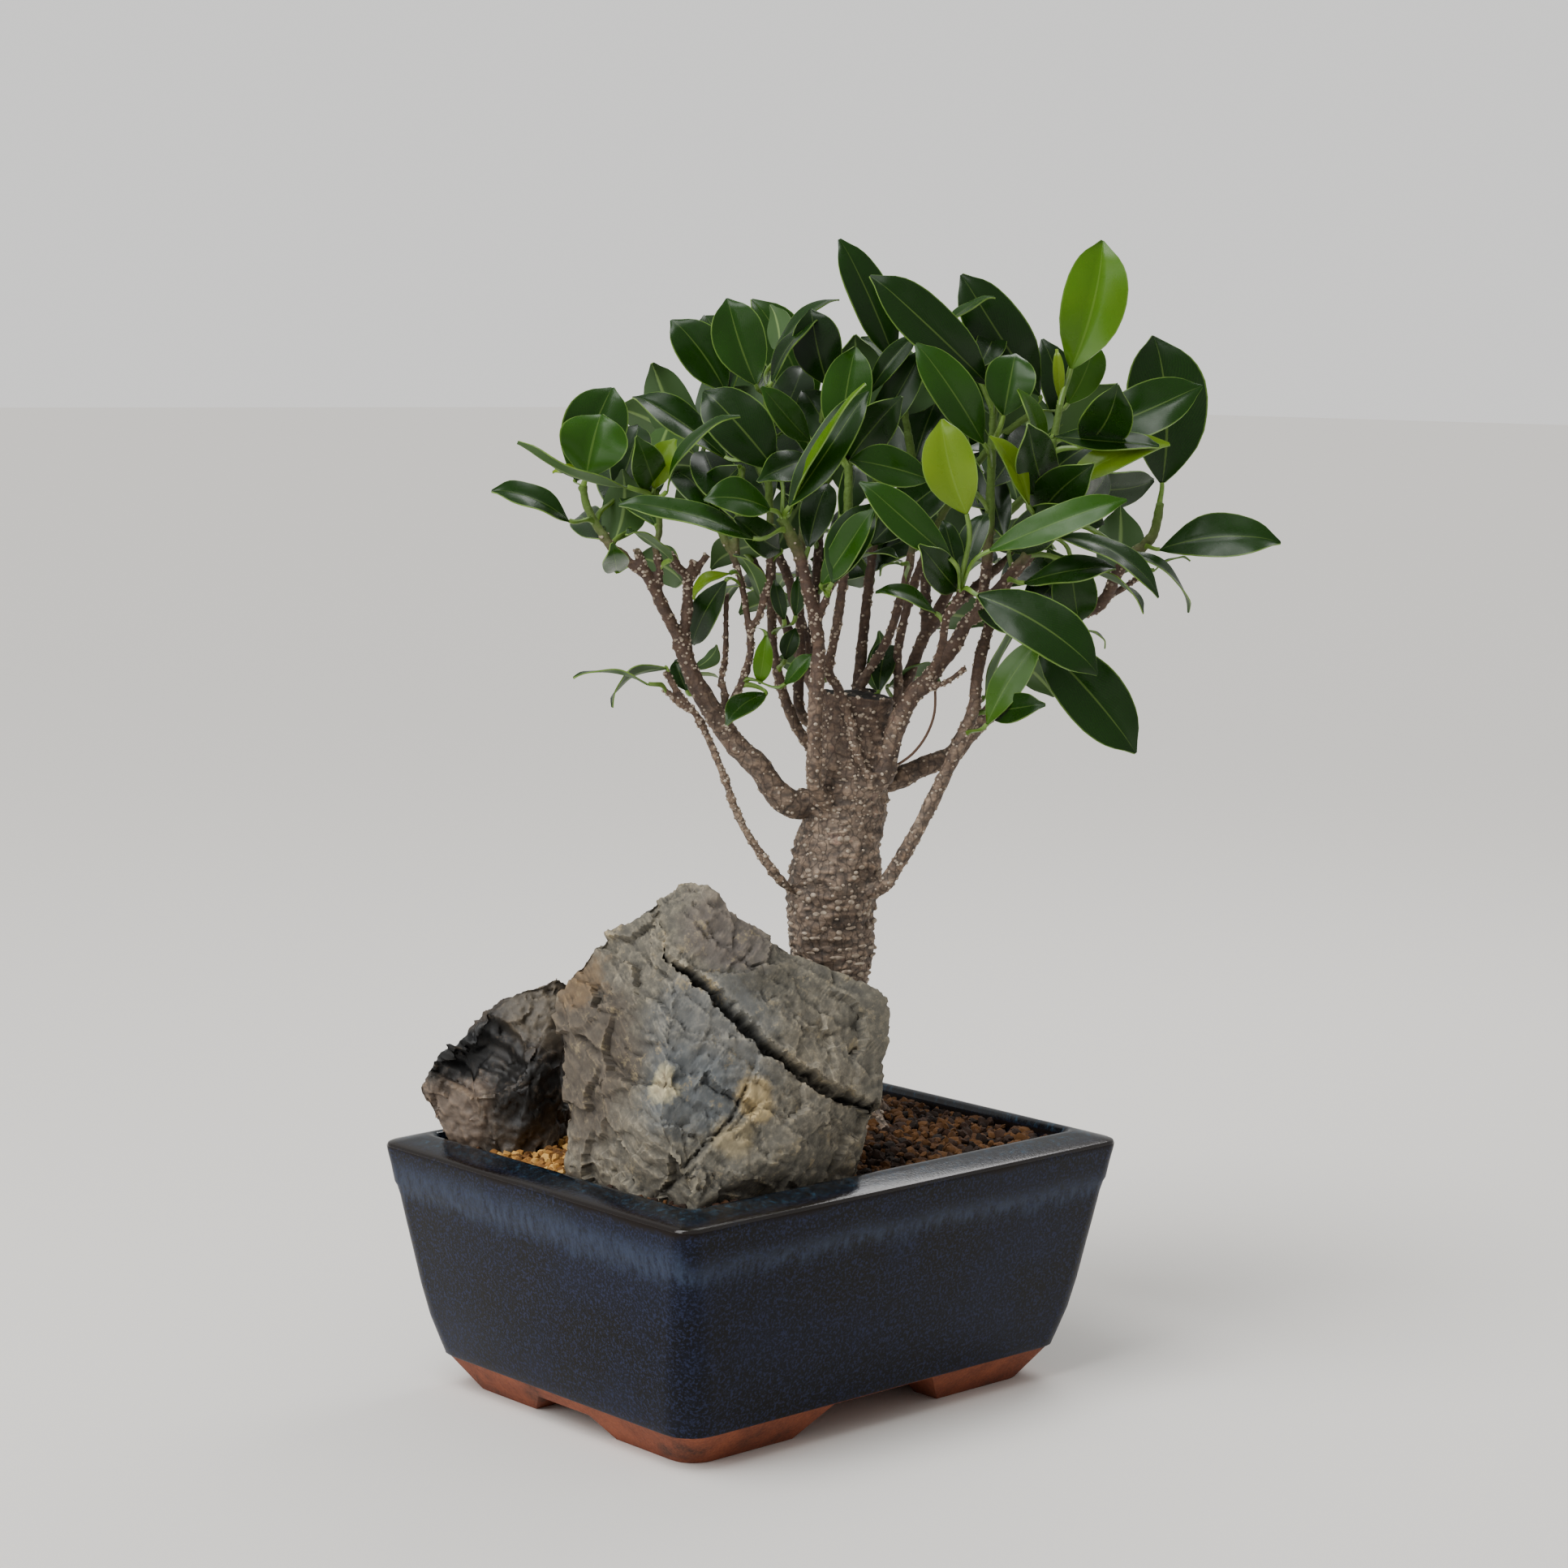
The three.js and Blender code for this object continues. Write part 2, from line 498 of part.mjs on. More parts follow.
let gravel = toSolid(prism(gravelOutline, GRAVEL.bottom, GRAVEL.top));
for (const hollow of rockHollows) {
  gravel = gravel.subtract(hollow);
}
addNode(model, "pale_gravel", toGeometry(largestPart(gravel)), "#a07a45", 1);

// Each leaf ends a little short of the wood it grows from.
const woodHollow = treeSolid(GAP);
LEAVES.forEach((leaf, i) => {
  const blade = largestPart(toSolid(leafGeometry(leaf)).subtract(woodHollow));
  addNode(planting, `leaf_${String(i + 1).padStart(2, "0")}`, toGeometry(blade), "#2f5a2a", 0.35);
});

// The origin lies on the table, under the middle of the whole object.
const box = new THREE.Box3().setFromObject(model, true);
const middle = box.getCenter(new THREE.Vector3());
model.position.set(-middle.x, -middle.y, -box.min.z);

const group = new THREE.Group();
group.add(model);
export default group;
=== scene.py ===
"""A small ficus bonsai with two rocks in a rectangular glazed pot, laid out as a Blender add-on."""
import math
import random
from functools import partial

import bmesh
import bpy
import numpy as np
from bpy.props import FloatProperty, FloatVectorProperty, PointerProperty
from mathutils import Matrix, Vector, noise
from mathutils.bvhtree import BVHTree
from mathutils.kdtree import KDTree


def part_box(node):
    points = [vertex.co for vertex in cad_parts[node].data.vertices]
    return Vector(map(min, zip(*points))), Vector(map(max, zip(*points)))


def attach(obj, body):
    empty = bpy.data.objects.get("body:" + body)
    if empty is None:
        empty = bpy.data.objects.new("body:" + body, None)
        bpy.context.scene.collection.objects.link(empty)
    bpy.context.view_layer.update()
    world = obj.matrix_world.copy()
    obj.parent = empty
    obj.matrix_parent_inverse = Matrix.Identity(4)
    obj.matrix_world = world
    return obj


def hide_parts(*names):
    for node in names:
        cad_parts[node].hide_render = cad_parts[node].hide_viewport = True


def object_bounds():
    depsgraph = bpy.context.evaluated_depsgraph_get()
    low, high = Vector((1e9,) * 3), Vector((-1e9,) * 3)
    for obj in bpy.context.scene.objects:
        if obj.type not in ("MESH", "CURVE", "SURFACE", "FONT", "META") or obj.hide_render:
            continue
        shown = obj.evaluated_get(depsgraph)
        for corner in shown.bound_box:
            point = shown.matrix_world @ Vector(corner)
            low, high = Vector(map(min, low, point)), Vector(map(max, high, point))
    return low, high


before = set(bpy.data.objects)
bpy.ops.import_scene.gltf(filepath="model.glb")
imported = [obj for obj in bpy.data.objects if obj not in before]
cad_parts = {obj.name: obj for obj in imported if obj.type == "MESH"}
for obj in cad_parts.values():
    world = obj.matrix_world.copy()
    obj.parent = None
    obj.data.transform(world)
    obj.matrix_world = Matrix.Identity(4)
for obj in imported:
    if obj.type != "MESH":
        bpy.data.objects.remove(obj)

bl_info = {
    "name": "Ficus bonsai",
    "version": (1, 0, 0),
    "blender": (4, 5, 0),
    "location": "3D View > Sidebar > Bonsai",
    "description": "Builds a ficus bonsai, its rocks, its soil and its glazed pot",
    "category": "Add Mesh",
}

CAD_BOX = [list(corner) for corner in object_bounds()]
MM = 0.001

# ---------- places ----------
POT_LOW, POT_HIGH = (Vector(corner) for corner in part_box("pot"))
POT_MIDDLE = Vector(((POT_LOW.x + POT_HIGH.x) / 2, (POT_LOW.y + POT_HIGH.y) / 2, POT_LOW.z))
TURN = math.radians(-42.56)  # the planting faces the pot's front left corner
RIGHT = Vector((math.cos(TURN), math.sin(TURN), 0))
BACK = Vector((-math.sin(TURN), math.cos(TURN), 0))
TRUNK_X = 30.0  # where the trunk stands in the pot
TRUNK_FOOT = POT_MIDDLE + Vector((TRUNK_X * MM, 0, 0))

# The pot, in millimetres
RIM_HALF_X, RIM_HALF_Y = 75.0, 60.0
GLAZE_LINE = 9.0
FLOOR_TOP = 13.0
RECESS_TOP = 7.0
DRAIN_X, DRAIN_RADIUS = 32.0, 6.0
SOIL_EDGE_Z = 62.0
GLASSY_FROM = 63.0  # the lip's glaze is glassy above this


def in_pot(x, y, z):
    """A place in the pot, in millimetres from the middle of its underside."""
    return POT_MIDDLE + Vector((x, y, z)) * MM


def turned(right, back, up):
    """A place in the planting's turned frame, from the middle of the pot."""
    return POT_MIDDLE + (RIGHT * right + BACK * back + Vector((0, 0, up))) * MM


def on_tree(right, up, front):
    """A place on the tree, from the foot of its trunk."""
    return TRUNK_FOOT + (RIGHT * right - BACK * front + Vector((0, 0, up))) * MM


def to_turned(points):
    """Vertex places as millimetres right, back and up in the turned frame."""
    local = (points - np.array(POT_MIDDLE)) / MM
    right = local @ np.array(RIGHT)
    back = local @ np.array(BACK)
    return np.stack([right, back, local[:, 2]], 1)


# ---------- mesh helpers ----------
def deselect():
    if bpy.context.object and bpy.context.object.mode != "OBJECT":
        bpy.ops.object.mode_set(mode="OBJECT")
    bpy.ops.object.select_all(action="DESELECT")


def activate(piece):
    deselect()
    bpy.context.view_layer.objects.active = piece
    piece.select_set(True)


def add_object(name, data):
    """A new object in the scene that shows this data."""
    made = bpy.data.objects.new(name, data)
    bpy.context.scene.collection.objects.link(made)
    return made


def mesh_piece(name, points, faces, materials=()):
    """A piece from its points and faces."""
    mesh = bpy.data.meshes.new(name)
    mesh.from_pydata([tuple(point) for point in points], [], faces)
    for material in materials:
        mesh.materials.append(material)
    mesh.update()
    return add_object(name, mesh)


def apply_modifier(piece, kind, **settings):
    activate(piece)
    modifier = piece.modifiers.new(kind.title(), kind)
    for key, value in settings.items():
        setattr(modifier, key, value)
    bpy.ops.object.modifier_apply(modifier=modifier.name)


def settle(piece):
    """Put the piece's place into its mesh, so that its object sits at the origin."""
    activate(piece)
    bpy.ops.object.transform_apply(location=True, rotation=True, scale=True)
    return piece


def vertex_places(piece):
    places = np.empty(len(piece.data.vertices) * 3)
    piece.data.vertices.foreach_get("co", places)
    return places.reshape(-1, 3)


def vertex_normals(piece):
    normals = np.empty(len(piece.data.vertices) * 3)
    piece.data.vertex_normals.foreach_get("vector", normals)
    return normals.reshape(-1, 3)


def set_places(piece, places):
    piece.data.vertices.foreach_set("co", np.ascontiguousarray(places).ravel())
    piece.data.update()


def set_attribute(piece, name, values):
    """Give each vertex a number that a material reads."""
    piece.data.attributes.new(name, "FLOAT", "POINT").data.foreach_set("value", values)


def edit_whole(piece, operation, **settings):
    """Run an edit mode operator on the whole of a piece."""
    activate(piece)
    bpy.ops.object.mode_set(mode="EDIT")
    bpy.ops.mesh.select_all(action="SELECT")
    operation(**settings)
    bpy.ops.object.mode_set(mode="OBJECT")


def surface_of(piece):
    """What finds the places on a piece's surface."""
    mesh = piece.data
    return BVHTree.FromPolygons([vertex.co for vertex in mesh.vertices],
                                [face.vertices for face in mesh.polygons])


def ball():
    """Corners and triangles of a round lump of radius 1."""
    deselect()
    bpy.ops.mesh.primitive_ico_sphere_add(subdivisions=2, radius=1)
    lump = bpy.context.object
    corners = [vertex.co.copy() for vertex in lump.data.vertices]
    triangles = [tuple(face.vertices) for face in lump.data.polygons]
    bpy.data.objects.remove(lump, do_unlink=True)
    return corners, triangles


def smooth(piece, angle=180):
    activate(piece)
    bpy.ops.object.shade_smooth_by_angle(angle=math.radians(angle))


def join(pieces, name):
    deselect()
    for piece in pieces:
        piece.select_set(True)
    bpy.context.view_layer.objects.active = pieces[0]
    bpy.ops.object.join()
    joined = bpy.context.object
    joined.name = name
    joined.data.name = name
    return joined


def finish_piece(piece, slot, *nodes):
    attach(piece, "root")
    if nodes:
        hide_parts(*nodes)
    return piece


# ---------- material helpers ----------
def colour(code):
    """An sRGB hex colour as linear RGBA."""
    parts = [int(code[i:i + 2], 16) / 255 for i in (1, 3, 5)]
    return tuple(c / 12.92 if c <= 0.04045 else ((c + 0.055) / 1.055) ** 2.4 for c in parts) + (1.0,)


def fill(made, inputs):
    """Give a node its inputs: a socket is linked, and a value is set."""
    for key, value in inputs.items():
        if isinstance(value, bpy.types.NodeSocket):
            made.id_data.links.new(value, made.inputs[key])
        else:
            made.inputs[key].default_value = value


def add_node(tree, kind, inputs=None, stops=None, out=0, **settings):
    """One node with its settings, inputs and ramp stops: gives one output, or the node if out is None."""
    made = tree.nodes.new("ShaderNode" + kind)
    for key, value in settings.items():
        setattr(made, key, value)
    fill(made, inputs or {})
    if stops:
        ramp = made.color_ramp
        while len(ramp.elements) < len(stops):
            ramp.elements.new(0.5)
        for element, (position, shade) in zip(ramp.elements, stops):
            element.position = position
            element.color = colour(shade) if isinstance(shade, str) else shade
    return made if out is None else made.outputs[out]


def new_material(name):
    """A material, what adds a node to it, its shader, and the place on the object that patterns follow."""
    material = bpy.data.materials.new(name)
    material.use_nodes = True
    node = partial(add_node, material.node_tree)
    return material, node, material.node_tree.nodes["Principled BSDF"], node("TexCoord", out="Object")


# Settings of a Mix node for two colours: its input 0 is the share, and 6 and 7 are the colours.
BLEND = {"data_type": "RGBA", "out": 2}
OVERLAY = {**BLEND, "blend_type": "OVERLAY"}
ADDED = {**BLEND, "blend_type": "ADD"}


def per_mm(size):
    """A texture scale whose features are this many millimetres across."""
    return 1000.0 / size


# ---------- materials ----------
def glazed_stoneware(name, ior, gloss, band_tone):
    """Dark blue stoneware glaze: glassy on the lip, brown on edges, satin and finely speckled below."""
    material, node, shader, place = new_material(name)
    height = node("SeparateXYZ", {0: place}, out="Z")
    cloud = node("TexNoise", {"Vector": place, "Scale": per_mm(22), "Detail": 4.0})
    streak_place = node("Mapping", {"Vector": place, "Scale": (1, 1, 0.28)})
    streak = node("TexNoise", {"Vector": streak_place, "Scale": per_mm(1.6), "Detail": 3.0, "Roughness": 0.7})
    speck = node("TexNoise", {"Vector": place, "Scale": per_mm(0.7), "Detail": 3.0, "Roughness": 0.65})
    drift = node("Math", {0: cloud, 1: 0.006, 2: height}, operation="MULTIPLY_ADD")
    wander = node("Math", {0: streak, 1: 0.007, 2: drift}, operation="MULTIPLY_ADD")

    body = node("ValToRGB", {"Fac": cloud}, stops=[(0.36, "#0b0a09"), (0.48, "#090a10"), (0.62, "#0b0f1d")])
    speck_mask = node("MapRange", {"Value": speck, "From Min": 0.49, "From Max": 0.62, "To Max": 0.66})
    body = node("Mix", {0: speck_mask, 6: body, 7: colour("#282f4c")}, **BLEND)
    dark_mask = node("MapRange", {"Value": speck, "From Min": 0.44, "From Max": 0.34, "To Max": 0.6})
    body = node("Mix", {0: dark_mask, 6: body, 7: colour("#040507")}, **BLEND)
    # the pale floating band under the rim is narrower on the long sides, where the glaze above it runs dark
    facing = node("SeparateXYZ", {0: node("NewGeometry", out="Normal")}, out=None)
    long_side = node("Math", {0: facing.outputs["Y"]}, operation="ABSOLUTE")
    long_side = node("MapRange", {"Value": long_side, "From Min": 0.45, "From Max": 0.8})
    lift = node("Math", {0: long_side, 1: 0.0042, 2: wander}, operation="MULTIPLY_ADD")
    low_edge = node("MapRange", {"Value": wander, "From Min": 0.0540, "From Max": 0.0600},
                    interpolation_type="SMOOTHSTEP")
    high_edge = node("MapRange", {"Value": lift, "From Min": 0.0680, "From Max": 0.0625},
                     interpolation_type="SMOOTHSTEP")
    band = node("Math", {0: low_edge, 1: high_edge}, operation="MULTIPLY")
    curdled = node("MapRange", {"Value": streak, "From Min": 0.36, "From Max": 0.66, "To Min": 0.16,
                                "To Max": 0.75})
    band = node("Math", {0: band, 1: curdled}, operation="MULTIPLY")
    body = node("Mix", {0: band, 6: body, 7: band_tone}, **BLEND)
    # glaze thins to brown-black along the outer rim edge
    edge_low = node("MapRange", {"Value": drift, "From Min": 0.0646, "From Max": 0.0660})
    edge_high = node("MapRange", {"Value": height, "From Min": 0.0646, "From Max": 0.0638})
    edge = node("Math", {0: edge_low, 1: edge_high}, operation="MULTIPLY")
    body = node("Mix", {0: edge, 6: body, 7: colour("#120b08")}, **BLEND)
    # the lip
    lip = node("MapRange", {"Value": height, "From Min": 0.0640, "From Max": 0.0648})
    lip_tone = node("ValToRGB", {"Fac": streak},
                    stops=[(0.35, "#07090c"), (0.55, "#0f1720"), (0.72, "#1f3a4c")])
    body = node("Mix", {0: lip, 6: body, 7: lip_tone}, **BLEND)
    fill(shader, {"Base Color": body})
    satin = node("MapRange", {"Value": speck, "From Min": 0.3, "From Max": 0.7, "To Min": gloss,
                              "To Max": gloss * 1.6})
    fill(shader, {"Roughness": satin, "IOR": ior,
                  "Normal": node("Bump", {"Height": speck, "Strength": 0.25, "Distance": 0.15 * MM})})
    return material


def bare_clay(tone_pale):
    """Unglazed red stoneware, fired dull and dusty, with dark kiln smudges."""
    material, node, shader, place = new_material("bare_clay")
    smudge = node("TexNoise", {"Vector": place, "Scale": per_mm(9), "Detail": 6.0})
    grit = node("TexNoise", {"Vector": place, "Scale": per_mm(0.7), "Detail": 3.0})
    tone = node("ValToRGB", {"Fac": smudge}, stops=[(0.3, "#2a130a"), (0.42, "#6b311a"), (0.7, tone_pale)])
    fine = node("MapRange", {"Value": grit, "From Min": 0.3, "From Max": 0.7})
    fine = node("Mix", {0: fine, 6: colour("#3a1b10"), 7: colour("#a35e3a")}, **BLEND)
    tone = node("Mix", {0: 0.25, 6: tone, 7: fine}, **BLEND)
    fill(shader, {"Base Color": tone, "Roughness": 0.82,
                  "Normal": node("Bump", {"Height": grit, "Strength": 0.5, "Distance": 0.25 * MM})})
    return material


WARP = 0.014  # how far, in metres, the rocks' patterns wander


def painted_relief_shade(node, base, share, stops):
    """Painted shade darkens the hollows and painted light pales what stands proud, both read from the mesh's
    pointiness.
    """
    proud = node("NewGeometry", out="Pointiness")
    proud = node("MapRange", {"Value": proud, "From Min": 0.42, "From Max": 0.58})
    return node("Mix", {0: share, 6: base, 7: node("ValToRGB", {"Fac": proud}, stops=stops)}, **OVERLAY)


def weathered_limestone(name, tones, veins, stain, roughness=0.78):
    """Weathered grey limestone: blue and olive greys, thin calcite veins, an iron stain where water sat."""
    material, node, shader, place = new_material(name)
    warp = node("TexNoise", {"Vector": place, "Scale": per_mm(18), "Detail": 5.0}, out=1)
    bent = node("Mix", {0: WARP, 6: place, 7: warp}, **ADDED)
    broad = node("TexNoise", {"Vector": place, "Scale": per_mm(26), "Detail": 6.0, "Roughness": 0.6})
    grain = node("TexNoise", {"Vector": place, "Scale": per_mm(2.2), "Detail": 6.0, "Roughness": 0.72})
    base = node("ValToRGB", {"Fac": broad}, stops=[(0.28, tones[0]), (0.42, tones[1]), (0.56, tones[2]),
                                                   (0.74, tones[3])])
    mottle = node("ValToRGB", {"Fac": grain}, stops=[(0.3, "#2a261f"), (0.5, "#7c796f"), (0.7, "#dcd5c4")])
    base = node("Mix", {0: 0.55, 6: base, 7: mottle}, **OVERLAY)
    fleck = node("TexNoise", {"Vector": place, "Scale": per_mm(5.5), "Detail": 8.0, "Roughness": 0.8})
    pale = node("MapRange", {"Value": fleck, "From Min": 0.56, "From Max": 0.7, "To Max": 0.45})
    base = node("Mix", {0: pale, 6: base, 7: colour("#b9b3a4")}, **BLEND)
    dust = node("MapRange", {"Value": fleck, "From Min": 0.42, "From Max": 0.3, "To Max": 0.45})
    base = node("Mix", {0: dust, 6: base, 7: colour("#3a352d")}, **BLEND)
    for size, width, share in veins:
        cell = node("TexVoronoi", {"Vector": bent, "Scale": per_mm(size)}, feature="DISTANCE_TO_EDGE",
                    out="Distance")
        line = node("MapRange", {"Value": cell, "From Min": width, "From Max": 0.0, "To Max": share})
        patchy = node("MapRange", {"Value": broad, "From Min": 0.47, "From Max": 0.62})
        broken = node("Math", {0: line, 1: patchy}, operation="MULTIPLY")
        base = node("Mix", {0: broken, 6: base, 7: colour("#b9b19f")}, **BLEND)
    for spot, reach, tint, share in stain:
        middle = tuple(spot + Vector((1, 1, 1)) * WARP / 2)
        away = node("VectorMath", {0: bent, 1: middle}, operation="DISTANCE", out="Value")
        near = node("MapRange", {"Value": away, "From Min": reach * MM, "From Max": reach * MM * 0.3},
                    interpolation_type="SMOOTHSTEP")
        ragged = node("Math", {0: fleck, 1: 2.4, 2: near}, operation="MULTIPLY_ADD")
        ragged = node("MapRange", {"Value": ragged, "From Min": 1.35, "From Max": 2.0, "To Max": share})
        base = node("Mix", {0: ragged, 6: base, 7: colour(tint)}, **BLEND)
    # painted shade in the rock's hollows and cracks, and painted light on its ridges
    base = painted_relief_shade(node, base, 0.7, [(0.0, "#1c1916"), (0.5, "#8c8b88"), (1.0, "#d9d3c5")])
    fill(shader, {"Base Color": base, "Roughness": roughness,
                  "Normal": node("Bump", {"Height": fleck, "Strength": 0.55, "Distance": 0.7 * MM})})
    return material


def ficus_bark():
    """Ficus bark: grey-brown, crazed and wrinkled on the trunk, redder on twigs, green on new shoots."""
    material, node, shader, place = new_material("ficus_bark")
    height = node("SeparateXYZ", {0: place}, out="Z")
    flat = node("Mapping", {"Vector": place, "Scale": (0.75, 0.75, 1.25)})
    wrinkle = node("TexNoise", {"Vector": flat, "Scale": per_mm(2.1), "Detail": 5.0, "Roughness": 0.65})
    patch = node("TexNoise", {"Vector": place, "Scale": per_mm(9), "Detail": 4.0})
    tone = node("ValToRGB", {"Fac": patch}, stops=[(0.32, "#74665a"), (0.5, "#a89788"), (0.7, "#c4b5a5")])
    lines = node("ValToRGB", {"Fac": wrinkle}, stops=[(0.38, "#150e0a"), (0.5, "#7a6d60"), (0.64, "#c9bfb2")])
    tone = node("Mix", {0: 0.62, 6: tone, 7: lines}, **OVERLAY)
    # the trunk's skin is crazed all over; painted shade darkens where limbs meet, through the pointiness mix
    # below
    warp = node("TexNoise", {"Vector": place, "Scale": per_mm(5)}, out=1)
    bent = node("Mix", {0: 0.004, 6: place, 7: warp}, **ADDED)
    tall = node("Mapping", {"Vector": bent, "Scale": (1, 1, 0.6)})
    cell = node("TexVoronoi", {"Vector": tall, "Scale": per_mm(2.4)}, feature="DISTANCE_TO_EDGE",
                out="Distance")
    crack = node("MapRange", {"Value": cell, "From Min": 0.11, "From Max": 0.02, "To Max": 0.6})
    tone = node("Mix", {0: crack, 6: tone, 7: colour("#2c231d")}, **BLEND)
    # painted shade in the hollows and crotches, and painted light on the ridges
    tone = painted_relief_shade(node, tone, 0.75, [(0.0, "#1c1714"), (0.5, "#858382"), (1.0, "#c9c2b6")])
    # twigs are redder than the trunk
    twig = node("MapRange", {"Value": height, "From Min": 0.148, "From Max": 0.19, "To Max": 0.85})
    skin = node("Mix", {0: wrinkle, 6: colour("#160c07"), 7: colour("#5a3e2e")}, **BLEND)
    tone = node("Mix", {0: twig, 6: tone, 7: skin}, **BLEND)
    drift = node("Math", {0: patch, 1: 0.02, 2: height}, operation="MULTIPLY_ADD")
    young = node("MapRange", {"Value": drift, "From Min": 0.222, "From Max": 0.236})
    tone = node("Mix", {0: young, 6: tone, 7: colour("#4f6a22")}, **BLEND)
    fill(shader, {"Base Color": tone, "Roughness": 0.72,
                  "Normal": node("Bump", {"Height": wrinkle, "Strength": 0.9, "Distance": 0.6 * MM})})
    return material


def grained(name, size, detail, stops, roughness, bump=0.0):
    """A surface whose tone follows one fine noise, raised by bump millimetres."""
    material, node, shader, place = new_material(name)
    grain = node("TexNoise", {"Vector": place, "Scale": per_mm(size), "Detail": detail})
    fill(shader, {"Base Color": node("ValToRGB", {"Fac": grain}, stops=stops), "Roughness": roughness})
    if bump:
        fill(shader, {"Normal": node("Bump", {"Height": grain, "Strength": 0.5, "Distance": bump * MM})})
    return material


def lenticel_cork():
    """Pale dry cork of the lenticels."""
    return grained("lenticel_cork", 1.4, 3.0, [(0.3, "#6a5c50"), (0.5, "#988978"), (0.7, "#beb09d")], 0.85)


def sawn_wood():
    """An old saw cut on the trunk's top, coloured nearly black."""
    return grained("sawn_wood", 2, 5.0, [(0.3, "#141110"), (0.6, "#2f2a27"), (0.8, "#5c544d")], 0.8, 0.5)


def leaf_upper(mature, young):
    """A ficus leaf's upper side: waxy and deep green, with a pale midrib, faint side veins and a pale rim."""
    material, node, shader, place = new_material("leaf_upper")
    split = node("SeparateXYZ", {0: node("UVMap", uv_map="blade")}, out=None)
    tone = node("Attribute", attribute_name="tone", out="Fac")
    patch = node("TexNoise", {"Vector": place, "Scale": per_mm(12), "Detail": 3.0})
    shaded = node("Math", {0: patch, 1: 0.12, 2: tone}, operation="MULTIPLY_ADD")
    # the per-leaf tone picks a place on this ramp: its dark end serves both old leaves and painted shade on
    # leaves set dark
    green = node("ValToRGB", {"Fac": shaded}, stops=[(0.05, mature), (0.3, "#143304"), (0.55, "#264c07"),
                                                     (0.8, "#456c0b"), (1.0, young)])
    centred = node("Math", {0: split.outputs["X"], 1: 0.5}, operation="SUBTRACT")
    aside = node("Math", {0: centred}, operation="ABSOLUTE")
    # side veins leave the midrib at a steep angle, about 1.6 mm apart
    slant = node("Math", {0: aside, 1: -1.1, 2: split.outputs["Y"]}, operation="MULTIPLY_ADD")
    wave = node("Math", {0: slant, 1: 22.0}, operation="MULTIPLY")
    saw = node("Math", {0: wave}, operation="FRACT")
    vein = node("MapRange", {"Value": saw, "From Min": 0.14, "From Max": 0.0, "To Max": 0.1})
    green = node("Mix", {0: vein, 6: green, 7: colour("#5f8236")}, **BLEND)
    width = node("MapRange", {"Value": split.outputs["Y"], "To Min": 0.024, "To Max": 0.007})
    rib = node("Math", {0: aside, 1: width}, operation="LESS_THAN")
    rib = node("Math", {0: rib, 1: 0.24}, operation="MULTIPLY")
    green = node("Mix", {0: rib, 6: green, 7: colour("#7d9a48")}, **BLEND)
    rim = node("MapRange", {"Value": aside, "From Min": 0.474, "From Max": 0.492, "To Max": 0.7})
    green = node("Mix", {0: rim, 6: green, 7: colour("#6a8a3c")}, **BLEND)
    fill(shader, {"Base Color": green})
    fleck = node("TexNoise", {"Vector": place, "Scale": per_mm(5), "Detail": 4.0})
    rough = node("MapRange", {"Value": fleck, "From Min": 0.3, "From Max": 0.7, "To Min": 0.2,
                              "To Max": 0.38})
    fill(shader, {"Roughness": rough, "IOR": 1.31, "Subsurface Weight": 0.06,
                  "Subsurface Radius": (0.3, 0.8, 0.1), "Subsurface Scale": 0.001})
    ribs = node("Math", {0: vein, 1: rib}, operation="ADD")
    fill(shader, {"Normal": node("Bump", {"Height": ribs, "Strength": 0.35, "Distance": 0.15 * MM})})
    return material


def leaf_under():
    """The underside: paler, greyer and matt, with a raised midrib."""
    material, node, shader, _ = new_material("leaf_under")
    split = node("SeparateXYZ", {0: node("UVMap", uv_map="blade")}, out=None)
    tone = node("Attribute", attribute_name="tone", out="Fac")
    green = node("ValToRGB", {"Fac": tone}, stops=[(0.0, "#2c4720"), (0.4, "#38581f"), (0.7, "#567c1e"),
                                                   (1.0, "#7c9a28")])
    centred = node("Math", {0: split.outputs["X"], 1: 0.5}, operation="SUBTRACT")
    aside = node("Math", {0: centred}, operation="ABSOLUTE")
    rib = node("MapRange", {"Value": aside, "From Min": 0.05, "From Max": 0.02, "To Max": 0.6})
    green = node("Mix", {0: rib, 6: green, 7: colour("#7f9a55")}, **BLEND)
    fill(shader, {"Base Color": green, "Roughness": 0.55, "IOR": 1.42,
                  "Normal": node("Bump", {"Height": rib, "Strength": 0.4, "Distance": 0.3 * MM})})
    return material


def young_stalk():
    """Soft green of leaf stalks and leaf rims."""
    return grained("young_stalk", 4, 2.0, [(0.3, "#4c6a1f"), (0.7, "#71913a")], 0.4)


def baked_granules(name, dark, middle, pale):
    """Loose granules of baked clay and bark, dull and crumbly; each takes its own shade."""
    material, node, shader, place = new_material(name)
    shade = node("Attribute", attribute_name="shade", out="Fac")
    grit = node("TexNoise", {"Vector": place, "Scale": per_mm(0.6), "Detail": 3.0})
    spread = node("Math", {0: grit, 1: 0.3, 2: shade}, operation="MULTIPLY_ADD")
    tone = node("ValToRGB", {"Fac": spread}, stops=[(0.15, dark), (0.6, middle), (1.15 / 1.3, pale)])
    fill(shader, {"Base Color": tone, "Roughness": 0.92,
                  "Normal": node("Bump", {"Height": grit, "Strength": 0.7, "Distance": 0.3 * MM})})
    return material


def plain(name, code, roughness, metallic=0.0):
    """An evenly coloured surface with a faint unevenness of its finish."""
    material, node, shader, place = new_material(name)
    grain = node("TexNoise", {"Vector": place, "Scale": per_mm(3), "Detail": 2.0})
    tone = node("Mix", {0: 0.12, 6: colour(code), 7: grain}, **OVERLAY)
    fill(shader, {"Base Color": tone, "Roughness": roughness, "Metallic": metallic})
    return material


